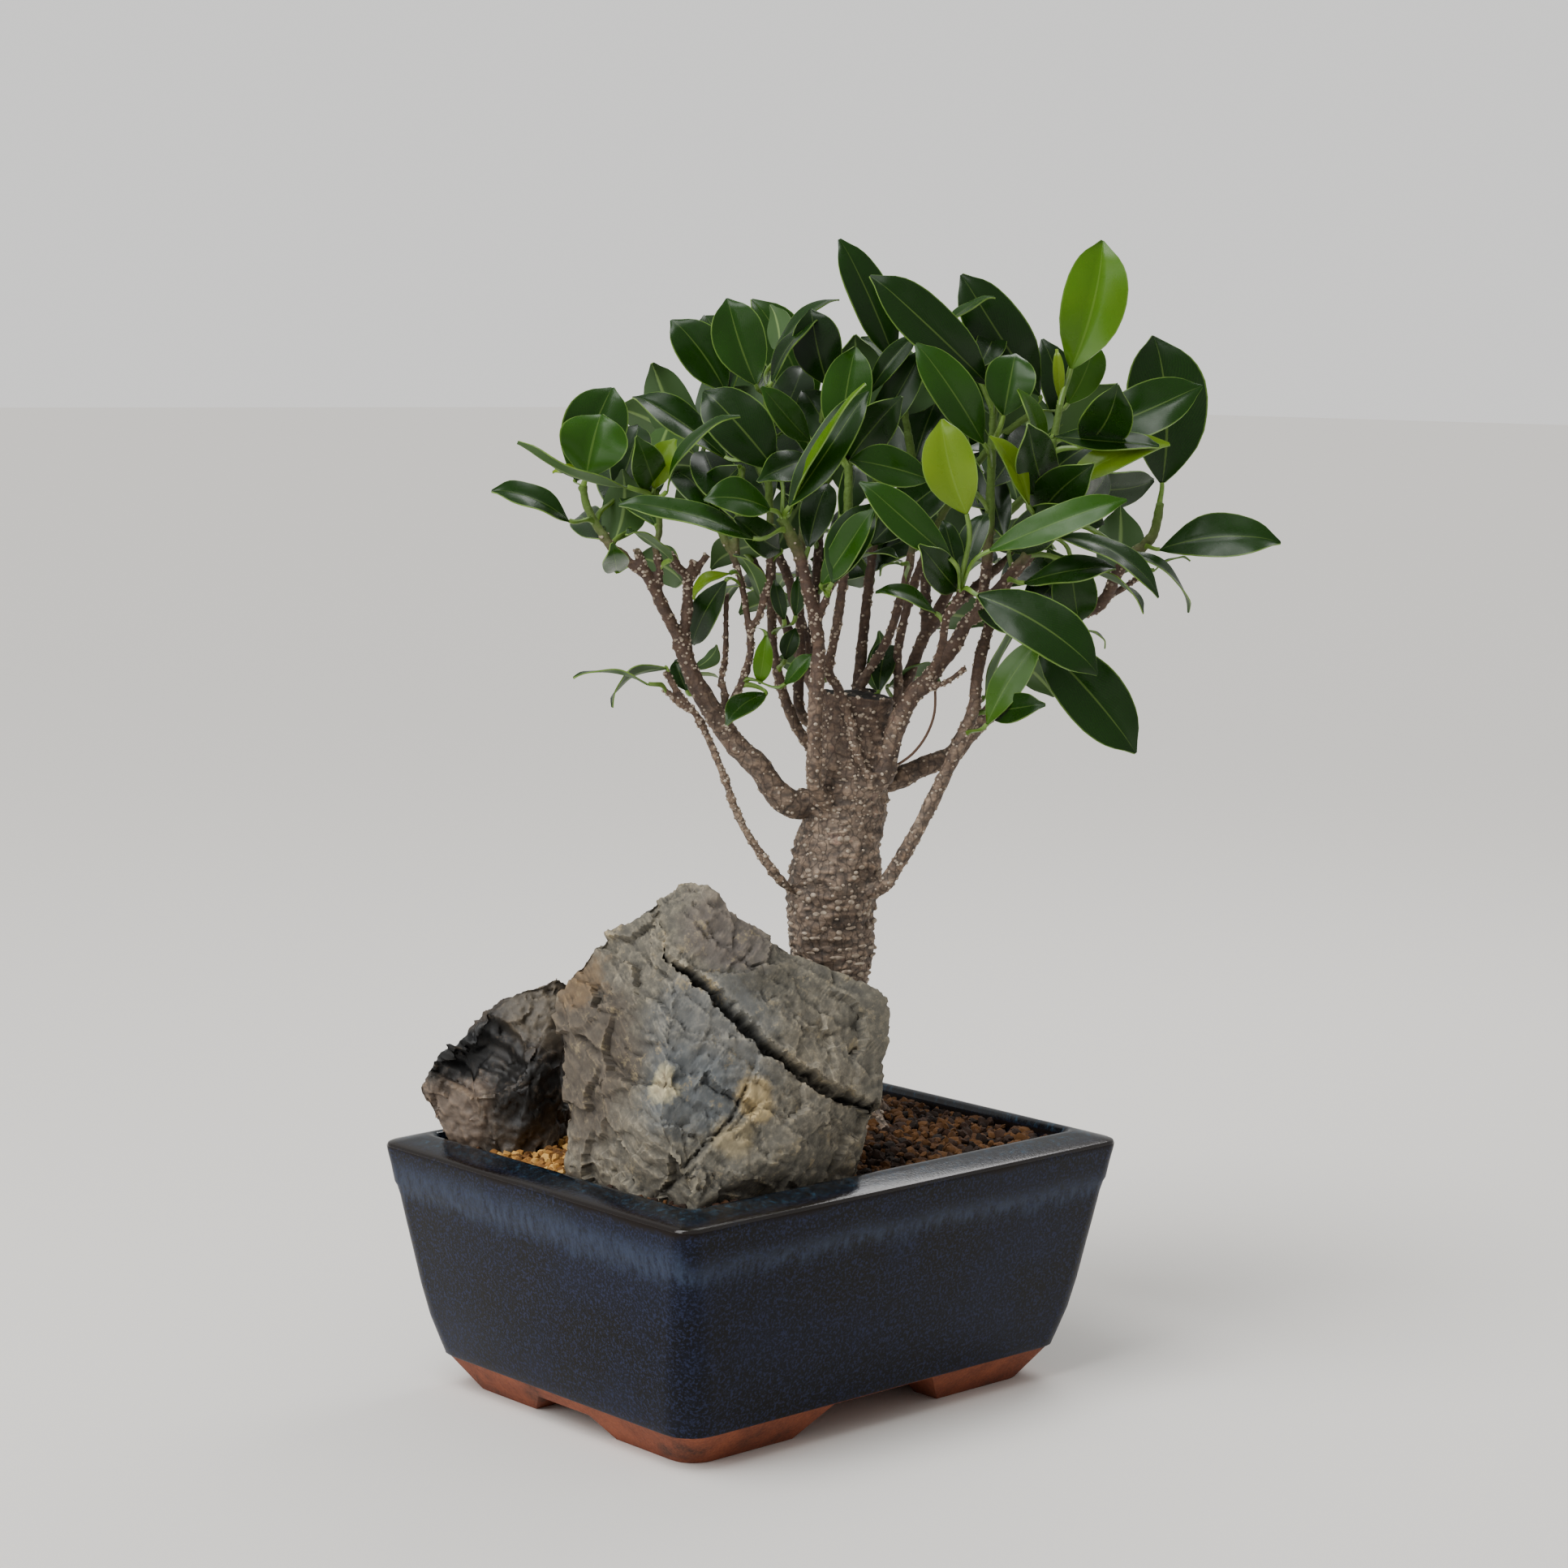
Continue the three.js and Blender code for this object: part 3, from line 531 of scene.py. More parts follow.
# ---------- pot ----------
# The section of the pot's wall, from the skirt up, over the lip and down inside: how far in, and how high.
WALL_SECTION = [
    (10.0, GLAZE_LINE), (9.75, GLAZE_LINE), (9.4, 9.6), (8.7, 12.0), (6.8, 19.0), (5.3, 27.0), (4.0, 36.0),
    (2.9, 43.5), (2.0, 50.0), (1.5, 52.6), (1.1, 53.6), (0.6, 58.0), (0.1, 61.5), (0.0, 62.8), (0.3, 63.5),
    (1.1, 63.9), (3.4, 64.6), (5.6, 65.3), (7.4, 65.8), (8.4, 65.9), (9.2, 65.5), (9.7, 64.4), (10.4, 60.0),
    (14.0, 40.0), (17.4, 14.5), (18.6, FLOOR_TOP),
]
FOOT_INSET = 16.6
FOOT_RING = 4.5  # the foot's first ring above the ground
CORNER_CUT = 4.0
# The gaps between the feet, under the long and the short sides: half the width at the lowest and at the
# top, and the height. Their cutters start a little below the ground.
LONG_GAP = (27, 17, GLAZE_LINE - 0.3)
SHORT_GAP = (18, 10, 5.5)
RECESS_HALF = (50, 35)
# How round the upright corners are, in millimetres, at each height outside; inside they are tighter.
CORNER_HEIGHTS = (0, 9, 30, 50, 62, 66)
CORNER_RADII = (7, 9, 8, 6.5, 5, 4.4)


def block(name, low, high, top_scale=(1, 1)):
    """A block between two corners in the pot, its top drawn in or out."""
    middle = [(a + b) / 2 for a, b in zip(low, high)]
    centre = in_pot(*middle)
    deselect()
    bpy.ops.mesh.primitive_cube_add(size=1, location=centre)
    made = bpy.context.object
    made.name = name
    made.scale = [(b - a) * MM for a, b in zip(low, high)]
    settle(made)
    for vertex in made.data.vertices:
        if vertex.co.z > centre.z:
            for axis in (0, 1):
                vertex.co[axis] = centre[axis] + (vertex.co[axis] - centre[axis]) * top_scale[axis]
    return made


def cut_away(piece, cutter):
    apply_modifier(piece, "BOOLEAN", operation="DIFFERENCE", object=cutter, solver="EXACT")
    bpy.data.objects.remove(cutter, do_unlink=True)


def round_upright_edges(mesh, radius_mm):
    """Bevel the four upright edges of the block in edit mode."""
    bpy.ops.object.mode_set(mode="EDIT")
    bpy.ops.mesh.select_mode(type="EDGE")
    bpy.ops.mesh.select_all(action="DESELECT")
    shape = bmesh.from_edit_mesh(mesh)
    for edge in shape.edges:
        low, high = sorted((vertex.co.z for vertex in edge.verts))
        edge.select = high - low > 1 * MM
    bmesh.update_edit_mesh(mesh)
    bpy.ops.mesh.bevel(offset=radius_mm * MM, segments=7, affect="EDGES")


def reshape_corners(mesh, base_half):
    """Give each ring of the wall its own corner radius: scaling had stretched them all alike."""
    for vertex in mesh.vertices:
        spot = (vertex.co - POT_MIDDLE) / MM
        rings = [(0.0, FOOT_INSET), (FOOT_RING, (FOOT_INSET + WALL_SECTION[0][0]) / 2)]
        rings += [(level, inset) for inset, level in WALL_SECTION]
        reach = max(abs(spot.x) - RIM_HALF_X, abs(spot.y) - RIM_HALF_Y)
        inset = min((abs(spot.z - level) * 40 + abs(-reach - inset), inset) for level, inset in rings)[1]
        radius = float(np.interp(spot.z, CORNER_HEIGHTS, CORNER_RADII))
        if inset > 9 and spot.z > GLAZE_LINE + 1:
            radius = 3.2
        for axis, rim in ((0, RIM_HALF_X), (1, RIM_HALF_Y)):
            half = rim - inset
            stretched = CORNER_CUT * half / base_half[axis]
            share = (abs(spot[axis]) - half) / stretched
            place = math.copysign(half + share * radius, spot[axis])
            vertex.co[axis] = POT_MIDDLE[axis] + place * MM
    mesh.update()


def build_pot(settings):
    base_half = (RIM_HALF_X - FOOT_INSET, RIM_HALF_Y - FOOT_INSET)
    pot = block("bonsai_pot", (-base_half[0], -base_half[1], 0), (*base_half, FOOT_RING))
    mesh = pot.data
    round_upright_edges(mesh, CORNER_CUT)
    # lift the wall section by section from the top face
    bpy.ops.mesh.select_mode(type="FACE")
    bpy.ops.mesh.select_all(action="DESELECT")
    shape = bmesh.from_edit_mesh(mesh)
    shape.faces.ensure_lookup_table()
    for face in shape.faces:
        face.select = face.normal.z > 0.9
    bmesh.update_edit_mesh(mesh)
    middle = in_pot(0, 0, 0)
    half = base_half
    height = FOOT_RING
    slope = (FOOT_INSET - WALL_SECTION[0][0]) / GLAZE_LINE
    inset = FOOT_INSET - slope * height
    grown = (RIM_HALF_X - inset, RIM_HALF_Y - inset)
    bpy.ops.transform.resize(value=(grown[0] / half[0], grown[1] / half[1], 1), center_override=middle)
    half = grown
    for inset, level in WALL_SECTION:
        grown = (RIM_HALF_X - inset, RIM_HALF_Y - inset)
        bpy.ops.mesh.extrude_region_move(TRANSFORM_OT_translate={"value": (0, 0, (level - height) * MM)})
        bpy.ops.transform.resize(value=(grown[0] / half[0], grown[1] / half[1], 1), center_override=middle)
        half, height = grown, level
    bpy.ops.mesh.select_all(action="SELECT")
    bpy.ops.mesh.normals_make_consistent(inside=False)
    bpy.ops.object.mode_set(mode="OBJECT")
    reshape_corners(mesh, base_half)

    recess = block("recess", (-RECESS_HALF[0], -RECESS_HALF[1], -1), (*RECESS_HALF, RECESS_TOP))
    activate(recess)
    round_upright_edges(recess.data, 6.0)
    bpy.ops.object.mode_set(mode="OBJECT")
    cut_away(pot, recess)
    wide, narrow, high = LONG_GAP
    for y in (-70, 34):
        cut_away(pot, block("notch", (-wide, y, -2), (wide, y + 36, high), (narrow / wide, 1)))
    wide, narrow, high = SHORT_GAP
    cut_away(pot, block("notch", (-80, -wide, -2), (80, wide, high), (1, narrow / wide)))
    for side in (-1, 1):
        deselect()
        bpy.ops.mesh.primitive_cylinder_add(vertices=32, radius=DRAIN_RADIUS * MM, depth=20 * MM,
                                            location=in_pot(side * DRAIN_X, 0, FLOOR_TOP))
        cut_away(pot, settle(bpy.context.object))
    pot.data.materials.append(glazed_stoneware("satin_glaze", 1.22, 0.3, tuple(settings.band)))
    pot.data.materials.append(bare_clay(tuple(settings.clay)))
    pot.data.materials.append(glazed_stoneware("glassy_glaze", 1.52, 0.1, tuple(settings.band)))
    line = in_pot(0, 0, GLAZE_LINE + 0.05).z
    lip = in_pot(0, 0, GLASSY_FROM).z
    for face in pot.data.polygons:
        face.material_index = 1 if face.center.z < line else 2 if face.center.z > lip else 0
    apply_modifier(pot, "BEVEL", width=0.7 * MM, segments=3, limit_method="ANGLE",
                   angle_limit=math.radians(38), harden_normals=False)
    smooth(pot, 40)
    return finish_piece(pot, "glaze", "pot")


# ---------- drainage ----------
def tube_along(name, points, radius, sides=10, material=None):
    """A round wire along points, made as a curve and turned to a closed mesh."""
    curve = bpy.data.curves.new(name, "CURVE")
    curve.dimensions = "3D"
    curve.bevel_depth = 1.0
    curve.bevel_resolution = max(0, sides // 4 - 1)
    curve.use_fill_caps = True
    spline = curve.splines.new("POLY")
    spline.points.add(len(points) - 1)
    radii = radius if isinstance(radius, (list, tuple)) else [radius] * len(points)
    for spot, place, size in zip(spline.points, points, radii):
        spot.co = (*place, 1)
        spot.radius = size
    activate(add_object(name, curve))
    bpy.ops.object.convert(target="MESH")
    tube = bpy.context.object
    if material:
        tube.data.materials.append(material)
    return tube


def build_drainage():
    netting = plain("black_netting", "#20301f", 0.55)
    wire = plain("aluminium_wire", "#b9b9b6", 0.35, 1.0)
    pitch, bar, cells, thick = 4.5, 1.5, 3, 1.0
    reach = (cells * pitch + bar) / 2
    bottom = FLOOR_TOP + 0.3
    for side, word in ((-1, "left"), (1, "right")):
        bars = []
        for i in range(cells + 1):
            offset = (i - cells / 2) * pitch
            for across in (0, 1):
                half = (reach, bar / 2) if across == 0 else (bar / 2, reach)
                shift = (0, offset) if across == 0 else (offset, 0)
                centre_x = side * DRAIN_X + shift[0]
                bars.append(block("strip", (centre_x - half[0], shift[1] - half[1], bottom),
                                  (centre_x + half[0], shift[1] + half[1], bottom + thick)))
        net = join(bars, f"drain_net_{word}")
        apply_modifier(net, "REMESH", mode="VOXEL", voxel_size=0.35 * MM)
        net.data.materials.append(netting)
        smooth(net, 60)
        finish_piece(net, "netting", f"drain_mesh_{word}")
        low, top = RECESS_TOP - 0.8, bottom + thick + 0.8
        way = [(-10, low), (-5.2, low), (-4.6, low + 0.5), (-4.5, low + 1.4), (-4.5, top - 0.9),
               (-4.1, top - 0.2), (-3.4, top)]
        way += [(-x, z) for x, z in reversed(way)]
        staple = tube_along(f"net_staple_{word}", [in_pot(side * DRAIN_X + x, 0, z) for x, z in way],
                            0.5 * MM, 12, wire)
        smooth(staple, 60)
        finish_piece(staple, "wire", f"mesh_wire_{word}")


# ---------- rocks ----------
# Corner points of each faceted rock: [right, back, up] from the pot's middle, in the turned frame.
LARGE_ROCK = [
    (-42, -39, 50), (-14, -66, 50), (26, -34, 50), (9, -9, 50), (-30, -13, 50),
    (-46, -40, 63), (-13, -70, 64), (28, -36, 64), (-48, -37, 86), (30, -35, 78),
    (-22, -66, 82), (10, -58, 76), (-50, -31, 107), (32, -28, 106), (32, -31, 96),
    (-20, -52, 112), (8, -48, 103), (-18, -35, 137), (-10, -38, 133), (-28, -32, 130),
    (-40, -30, 120), (7, -32, 121), (16, -30, 114), (-19, -16, 122), (6, -10, 106),
    (-38, -16, 104), (12, -8, 70), (-32, -10, 70),
]
SMALL_ROCK = [
    (-73, -10, 56), (-62, -17, 56), (-49, -11, 56), (-47, 3, 56), (-62, 7, 56),
    (-74, -9, 67), (-68, -16, 68), (-87, -8, 78), (-84, -12, 83), (-77, -12, 92),
    (-72, -2, 96), (-60, -8, 104), (-50, -6, 107), (-44, -2, 103), (-44, 5, 94),
    (-60, 8, 97), (-80, 0, 83), (-70, -18, 77), (-56, -20, 82), (-47, -13, 86),
]
# The split across the large rock's front, and the fissure near its foot: (right, up).
SPLIT = [(-24, 130), (-21, 124), (-22, 120), (-14, 115), (-5, 106),
         (4, 98), (8, 96), (16, 89), (24, 84), (31, 79)]
SPLIT_WIDTH = [0.5, 0.6, 0.8, 1.2, 1.8, 2.2, 1.5, 2.3, 1.8, 0.8]
FISSURE = [(-24, 62), (-20, 67), (-14, 74), (-9, 78), (-4, 83), (-1, 90)]
SPLIT_DEPTH, FISSURE_DEPTH = 7.5, 1.4  # in millimetres


def rock_hull(name, corners, voxel_mm):
    """The convex block over the corners, remeshed fine and even."""
    rock = mesh_piece(name, [turned(*corner) for corner in corners], [])
    edit_whole(rock, bpy.ops.mesh.convex_hull)
    apply_modifier(rock, "REMESH", mode="VOXEL", voxel_size=voxel_mm * MM)
    apply_modifier(rock, "SMOOTH", factor=0.5, iterations=4)
    return rock


def noise_at(places_mm, size, seed, octaves=4):
    offset = Vector((seed * 17.3, seed * 5.1, -seed * 9.7))
    return np.array([noise.fractal(Vector(p) / size + offset, 1.0, 2.1, octaves) for p in places_mm])


def fractured(places_mm, size, seed):
    """Heights of tilted flat chips: each place takes the plane of its nearest chip."""
    maker = np.random.default_rng(seed)
    low, high = places_mm.min(0) - size, places_mm.max(0) + size
    count = int(np.prod((high - low) / size)) + 8
    chips = maker.uniform(low, high, (count, 3))
    tilts = maker.normal(0, 1, (count, 3))
    tilts /= np.linalg.norm(tilts, axis=1)[:, None]
    tree = KDTree(count)
    for i, chip in enumerate(chips):
        tree.insert(chip, i)
    tree.balance()
    nearest = np.array([tree.find(p)[1] for p in places_mm])
    return np.einsum("ij,ij->i", places_mm - chips[nearest], tilts[nearest]) / size


def along_line(right, up, line):
    """Distance to a broken line, which side of it, and how far along it, for each place."""
    best = np.full(len(right), 1e9)
    side = np.zeros(len(right))
    share = np.zeros(len(right))
    for i, ((x0, z0), (x1, z1)) in enumerate(zip(line, line[1:])):
        dx, dz = x1 - x0, z1 - z0
        length2 = dx * dx + dz * dz
        t = np.clip(((right - x0) * dx + (up - z0) * dz) / length2, 0, 1)
        away = np.hypot(right - x0 - t * dx, up - z0 - t * dz)
        closer = away < best
        best = np.where(closer, away, best)
        side = np.where(closer, np.sign(dx * (up - z0) - dz * (right - x0)), side)
        share = np.where(closer, i + t, share)
    return best, side, share


def build_large_rock():
    rock = rock_hull("rock_large", LARGE_ROCK, voxel_mm=0.72)
    places, normals = vertex_places(rock), vertex_normals(rock)
    local = to_turned(places)
    wander = np.stack([noise_at(local, 14, seed, 3) for seed in (1, 2, 3)], 1) * 2.5
    warped = local + wander
    rise = -1.0 + 1.8 * noise_at(local, 24, 4, 3)
    rise += 2.9 * fractured(warped, 19, 11) + 0.85 * fractured(warped, 8, 12) + 0.3 * fractured(warped, 3.2,
                                                                                                13)
    rise += 0.35 * noise_at(local, 2.6, 5, 4)
    # thin beds of stone, tilted to the right, leave small ledges
    bed = (warped[:, 0] * 0.55 + warped[:, 2] * 0.84) / 6.5
    rise += 0.7 * (bed - np.floor(bed)) - 0.35
    # the split: a slab above it stands a little proud, and a deep narrow gap runs along it
    ragged = noise_at(local, 2.6, 6, 3) * 0.7
    away, side, share = along_line(local[:, 0] + ragged, local[:, 2] + ragged, SPLIT)
    width = np.interp(share, range(len(SPLIT)), SPLIT_WIDTH) / 2
    front = np.clip(-normals @ np.array(BACK) * 2.2, 0, 1)
    rise += 1.3 * front * (side > 0) * np.exp(-away / 16)
    gap = front * np.clip(1.6 - away / np.maximum(width, 0.2), 0, 1)
    away, side, _ = along_line(local[:, 0] + ragged, local[:, 2] + ragged, FISSURE)
    rise += 0.9 * front * (side < 0) * np.exp(-away / 9)
    crease = front * np.clip(1.3 - away / 0.5, 0, 1)
    rise = np.clip(rise, -5, 2.0)
    places = places + normals * (rise[:, None] * MM)
    inward = np.array(BACK) * 0.92 + np.array(RIGHT) * -0.25 + np.array((0, 0, -0.3))
    places = places + inward[None] * ((SPLIT_DEPTH * gap + FISSURE_DEPTH * crease)[:, None] * MM)
    set_places(rock, places)
    tones = ("#66645e", "#807d74", "#928d82", "#a49d8d")
    stains = [
        (turned(-10, -56, 98), 27, "#6b7074", 0.55), (turned(-15, -60, 88), 16, "#646c73", 0.55),
        (turned(-6, -40, 126), 17, "#726864", 0.6), (turned(-46, -40, 92), 34, "#574c41", 0.75),
        (turned(1, -58, 87), 8, "#bda777", 0.75), (turned(-6, -62, 78), 9, "#a09270", 0.7),
        (turned(-21, -60, 91), 5.5, "#c9c09c", 0.85), (turned(-47, -34, 114), 13, "#80684a", 0.7),
    ]
    rock.data.materials.append(weathered_limestone("weathered_limestone", tones,
                                                   [(26, 0.012, 0.75), (9, 0.016, 0.45)], stains))
    smooth(rock, 42)
    return finish_piece(rock, "grey_rock", "large_rock")


def build_small_rock():
    rock = rock_hull("rock_small", SMALL_ROCK, voxel_mm=0.6)
    places, normals = vertex_places(rock), vertex_normals(rock)
    local = to_turned(places)
    warped = local + np.stack([noise_at(local, 9, seed, 3) for seed in (7, 8, 9)], 1) * 2.0
    rise = -1.0 + 1.8 * noise_at(local, 13, 14, 4) + 1.2 * fractured(warped, 9, 21) + 0.5 * fractured(warped,
                                                                                                      4, 22)
    rise += 0.3 * noise_at(local, 2.2, 15, 3)
    # a scooped glassy hollow on the upper left, ribbed like a shell
    away = np.hypot((local[:, 0] + 71) / 13, (local[:, 2] - 88) / 10)
    front = np.clip(-normals @ np.array(BACK) * 2, 0, 1)
    scoop = front * np.clip(1 - away, 0, 1)
    ribs = np.sin((local[:, 0] * 0.55 + local[:, 2]) * 1.25 + 2 * noise_at(local, 6, 16, 2))
    rise += -6.5 * np.sqrt(scoop) + 0.7 * ribs * (scoop > 0)
    rise = np.clip(rise, -8, 1.6)
    set_places(rock, places + normals * (rise[:, None] * MM))
    tones = ("#1d1a17", "#3b342d", "#564c43", "#75695c")
    stains = [(turned(-72, -12, 89), 17, "#14171a", 0.95), (turned(-58, -14, 80), 15, "#0c0b0a", 0.95),
              (turned(-56, -10, 101), 13, "#6a6152", 0.7), (turned(-76, -12, 70), 15, "#857466", 0.8)]
    rock.data.materials.append(weathered_limestone("dark_flint", tones, [(16, 0.012, 0.35)], stains, 0.5))
    smooth(rock, 50)
    return finish_piece(rock, "dark_rock", "small_rock")


# ---------- tree ----------
TRUNK = [  # (right, up, radius)
    (-4, 50, 8), (-4, 57, 14), (-3, 63, 15.5), (-2.5, 70, 12), (-2, 80, 9.6), (-2, 98, 8.8),
    (-2.2, 110, 10.9), (-3, 120, 11.6), (-1.6, 130, 12.2), (-1, 136, 12), (0, 141, 10.5),
    (1.2, 150, 10.3), (2.2, 160, 10.5), (3, 170, 9.6), (3.7, 177.5, 9),
]
# Branches: thickness at the start and at the end, then the way they grew: (right, up, front).
BRANCHES = [
    # left side, from the big left limb
    (8, 4.5, [(-2, 147, 2), (-9, 149.5, 4), (-13, 149, 6), (-18, 153, 7), (-22, 159, 7),
              (-27.5, 164, 7), (-32, 170, 7), (-37, 178, 8), (-40, 184, 8), (-42.5, 192, 8)]),
    (3.4, 2.2, [(-42, 190, 8), (-44.5, 195, 8), (-47, 200, 8), (-51, 208, 9), (-54, 210, 9),
                (-59, 214, 8), (-61, 216, 7), (-64, 220, 6), (-67, 226, 6), (-68, 231, 6)]),
    (2, 1.8, [(-50.5, 207, 9), (-54, 215, 10)]),
    (2.2, 1.8, [(-48.5, 203, 8), (-48, 210, 9), (-49, 215, 9), (-48, 221, 9), (-49.5, 228, 9)]),
    (3, 2.4, [(-42, 190, 8), (-41, 199, 5), (-41, 207, 4), (-43.5, 210, 5), (-45.5, 213.5, 6)]),
    (2, 1.8, [(-41, 205, 4), (-39.5, 212, 4)]),
    (2, 1.8, [(-41, 205, 4), (-36, 213.5, 3)]),
    (2.4, 1.8, [(-8, 126, 4), (-14, 128, 9), (-18, 132.5, 12), (-22, 138, 12), (-25.5, 143.5, 12),
                (-28.5, 150, 12), (-30, 154.5, 12), (-33, 162, 12), (-36, 169, 13), (-38.5, 173.5, 14),
                (-42.5, 178, 14), (-46, 184, 14)]),
    (1.8, 1.6, [(-38, 173, 14), (-42.5, 176, 15), (-46.5, 180, 16)]),
    (2, 1.6, [(-31, 168, 7), (-31, 177, 5), (-32, 181, 4), (-31, 187.5, 2), (-31, 203, 1)]),
    (2.4, 1.8, [(-29, 166, 7), (-30, 171.5, 8), (-28, 178, 8), (-26, 182.5, 8), (-24.5, 189, 8),
                (-24.5, 194, 8), (-22.5, 198, 9), (-21, 203, 9), (-20, 209, 10), (-19, 222, 12)]),
    (2, 1.8, [(-24.5, 192, 8), (-26.5, 203.5, 6), (-28.5, 211, 4), (-33.5, 221, 2)]),
    (1.8, 1.6, [(-28, 209, 4), (-28.5, 220, 3), (-27, 236, 2)]),
    # middle
    (4.5, 3, [(-3, 148, 6), (-7.5, 155, 13), (-7.7, 164.5, 15), (-7.7, 174, 16), (-7.5, 182, 16),
              (-7, 190, 16), (-8, 197.5, 17), (-9.5, 203.5, 18), (-12, 213.5, 18), (-14.5, 219, 19),
              (-17, 224, 20)]),
    (2.2, 1.8, [(-7.5, 196, 17), (-6.5, 200, 17), (-4.5, 205.5, 18), (-0.5, 213, 18)]),
    (3.2, 2.4, [(6, 150, 5), (7, 156, 10), (4, 161, 11), (2, 168.5, 11), (0, 175.5, 10), (-2, 180, 10),
                (-4.5, 184.5, 9), (-3, 192, 8), (-1.5, 203, 8), (-0.5, 212, 8), (0, 226, 8), (0, 238, 6)]),
    (3.2, 2, [(-4, 160, -2), (-9.5, 164, -3), (-14, 172, -3), (-17.5, 182.5, -3), (-19, 192, -4),
              (-19.5, 211, -4), (-20, 224, -4), (-21, 240, -4), (-21, 256, -4)]),
    (1.8, 1.6, [(-20, 230, -4), (-27, 244, -5), (-30, 253, -6)]),
    (3.2, 2, [(-4, 166, -4), (-11.5, 172, -8), (-11.5, 187, -9), (-12, 205, -10), (-11, 222, -9),
              (-8, 240, -8), (-6, 253, -7)]),
    # right side
    (6, 4.5, [(4, 148, 2), (10, 157, 8), (12, 165.5, 9), (14, 172, 10), (17, 178, 10), (20, 181, 10)]),
    (4.2, 2.2, [(19, 180, 10), (27, 190, 10), (31, 197.5, 9), (34, 200, 9), (36, 215, 7), (36.5, 236, 6),
                (37, 252, 4)]),
    (2.4, 2, [(20, 180, 10), (24, 190.5, 16), (25, 199, 22), (27, 203, 25), (28.5, 207, 28)]),
    (1.8, 1.5, [(20, 180, 10), (25.5, 182, 13), (30.5, 186, 15)]),
    (3.2, 2, [(33, 199, 9), (36, 203, 10), (42, 210, 11), (48, 219, 11), (50, 232, 11), (52, 243, 8),
              (54, 253, 3)]),
    (4.4, 2.6, [(5, 126, 6), (10, 128.5, 11), (12.5, 132, 12), (18.5, 142.5, 12), (24, 154, 12),
                (29, 165, 12), (33, 175.5, 12), (33.5, 182, 11), (36, 193, 5), (41, 206, 3), (49, 216, 2),
                (57, 223, 1)]),
    (6, 2.6, [(4, 152, -4), (12, 153.5, -7), (20.5, 157.5, -8), (28.5, 161, -8), (33, 167, -8),
              (41.5, 175.5, -8), (45, 182.5, -8), (48, 188, -8), (54, 194, -8), (60, 198, -8),
              (67, 201.5, -8),
              (71.5, 211, -6), (78, 217.5, -5), (80, 221, -5), (81, 228, -4)]),
    (1.8, 1.4, [(62, 198.5, -8), (72, 205, -9), (80, 210.5, -9)]),
    (2.8, 2, [(1, 170, -4), (5, 180.5, -6), (10.5, 190, -6), (13.5, 199, -6), (17, 215, -6),
              (17, 235, -7), (13, 258, -8)]),
    (2.8, 2, [(8, 166, -4), (14, 176, -9), (14, 188, -11), (18, 205, -14), (26, 225, -15), (38, 242, -14),
              (49, 251, -13)]),
    # roots that run out over the soil
    (8, 3.4, [(0, 74, -6), (5, 69.5, -11), (10, 65.5, -14), (15, 61, -17)]),
    (7, 3, [(-7, 74, -6), (-13, 69, -10), (-20, 66, -14), (-27, 63, -17), (-33, 60, -17)]),
    (8, 3, [(-4, 74, -8), (-6, 69, -14), (-4, 66, -21), (-7, 63, -28), (-6, 60, -35)]),
    (7, 3, [(3, 73, 3), (7, 68.5, 5), (11, 64.5, 7), (14, 60, 8)]),
    (6, 3, [(-10, 72, 4), (-16, 68, 8), (-20, 64, 12), (-24, 60, 14)]),
    # back
    (3.8, 2, [(-1, 158, -5), (-8, 178, -16), (-12, 196, -22), (-18, 212, -28), (-30, 226, -32),
              (-40, 236, -34)]),
    (3.8, 2, [(2, 162, -5), (4, 180, -18), (6, 200, -26), (8, 220, -33), (8, 238, -36)]),
    (3.8, 2, [(6, 158, -5), (14, 172, -18), (22, 192, -25), (34, 212, -30), (46, 226, -32), (56, 234, -33)]),
]
# Shoots that lean well back and fill the crown behind
BACK_SHOOTS = [
    (3.4, 2, [(-8, 178, -16), (-16, 194, -27), (-24, 208, -38), (-32, 222, -46), (-36, 236, -50)]),
    (3.4, 2, [(-8, 178, -16), (-8, 196, -28), (-7, 212, -40), (-6, 228, -50), (-6, 244, -54)]),
    (3.4, 2, [(22, 192, -25), (22, 206, -36), (24, 220, -44), (26, 234, -50), (28, 244, -54)]),
    (3.2, 2, [(22, 192, -25), (36, 204, -34), (48, 214, -40), (60, 224, -44), (66, 236, -46)]),
]
BRANCHES += BACK_SHOOTS
# The saw cut on the trunk's top: how far right, how high, and its radius.
SAWN_X, SAWN_Z, SAWN_RADIUS = 3.7, 177, 8.6
CROWN_TWIGS_Z = 214  # above this the shoots are too young for lenticels


def rounded_way(spots, steps):
    """Catmull-Rom through the spots, so a branch bends without corners."""
    ends = [spots[0]] + list(spots) + [spots[-1]]
    way = []
    for i in range(len(spots) - 1):
        a, b, c, d = (np.array(ends[i + k], float) for k in range(4))
        for s in range(steps):
            t = s / steps
            way.append(0.5 * (2 * b + (c - a) * t + (2 * a - 5 * b + 4 * c - d) * t ** 2
                              + (3 * b - a - 3 * c + d) * t ** 3))
    way.append(np.array(spots[-1], float))
    return way


def knobbly(radii, way, seed):
    """Swell a branch a little at its old leaf scars."""
    picker = random.Random(seed)
    swollen = []
    for radius, spot in zip(radii, way):
        bump = noise.noise(Vector(spot) * 0.33 + Vector((seed, 0, 0)))
        swollen.append(radius * (1 + 0.16 * bump) + (0.25 if picker.random() < 0.12 else 0))
    return swollen


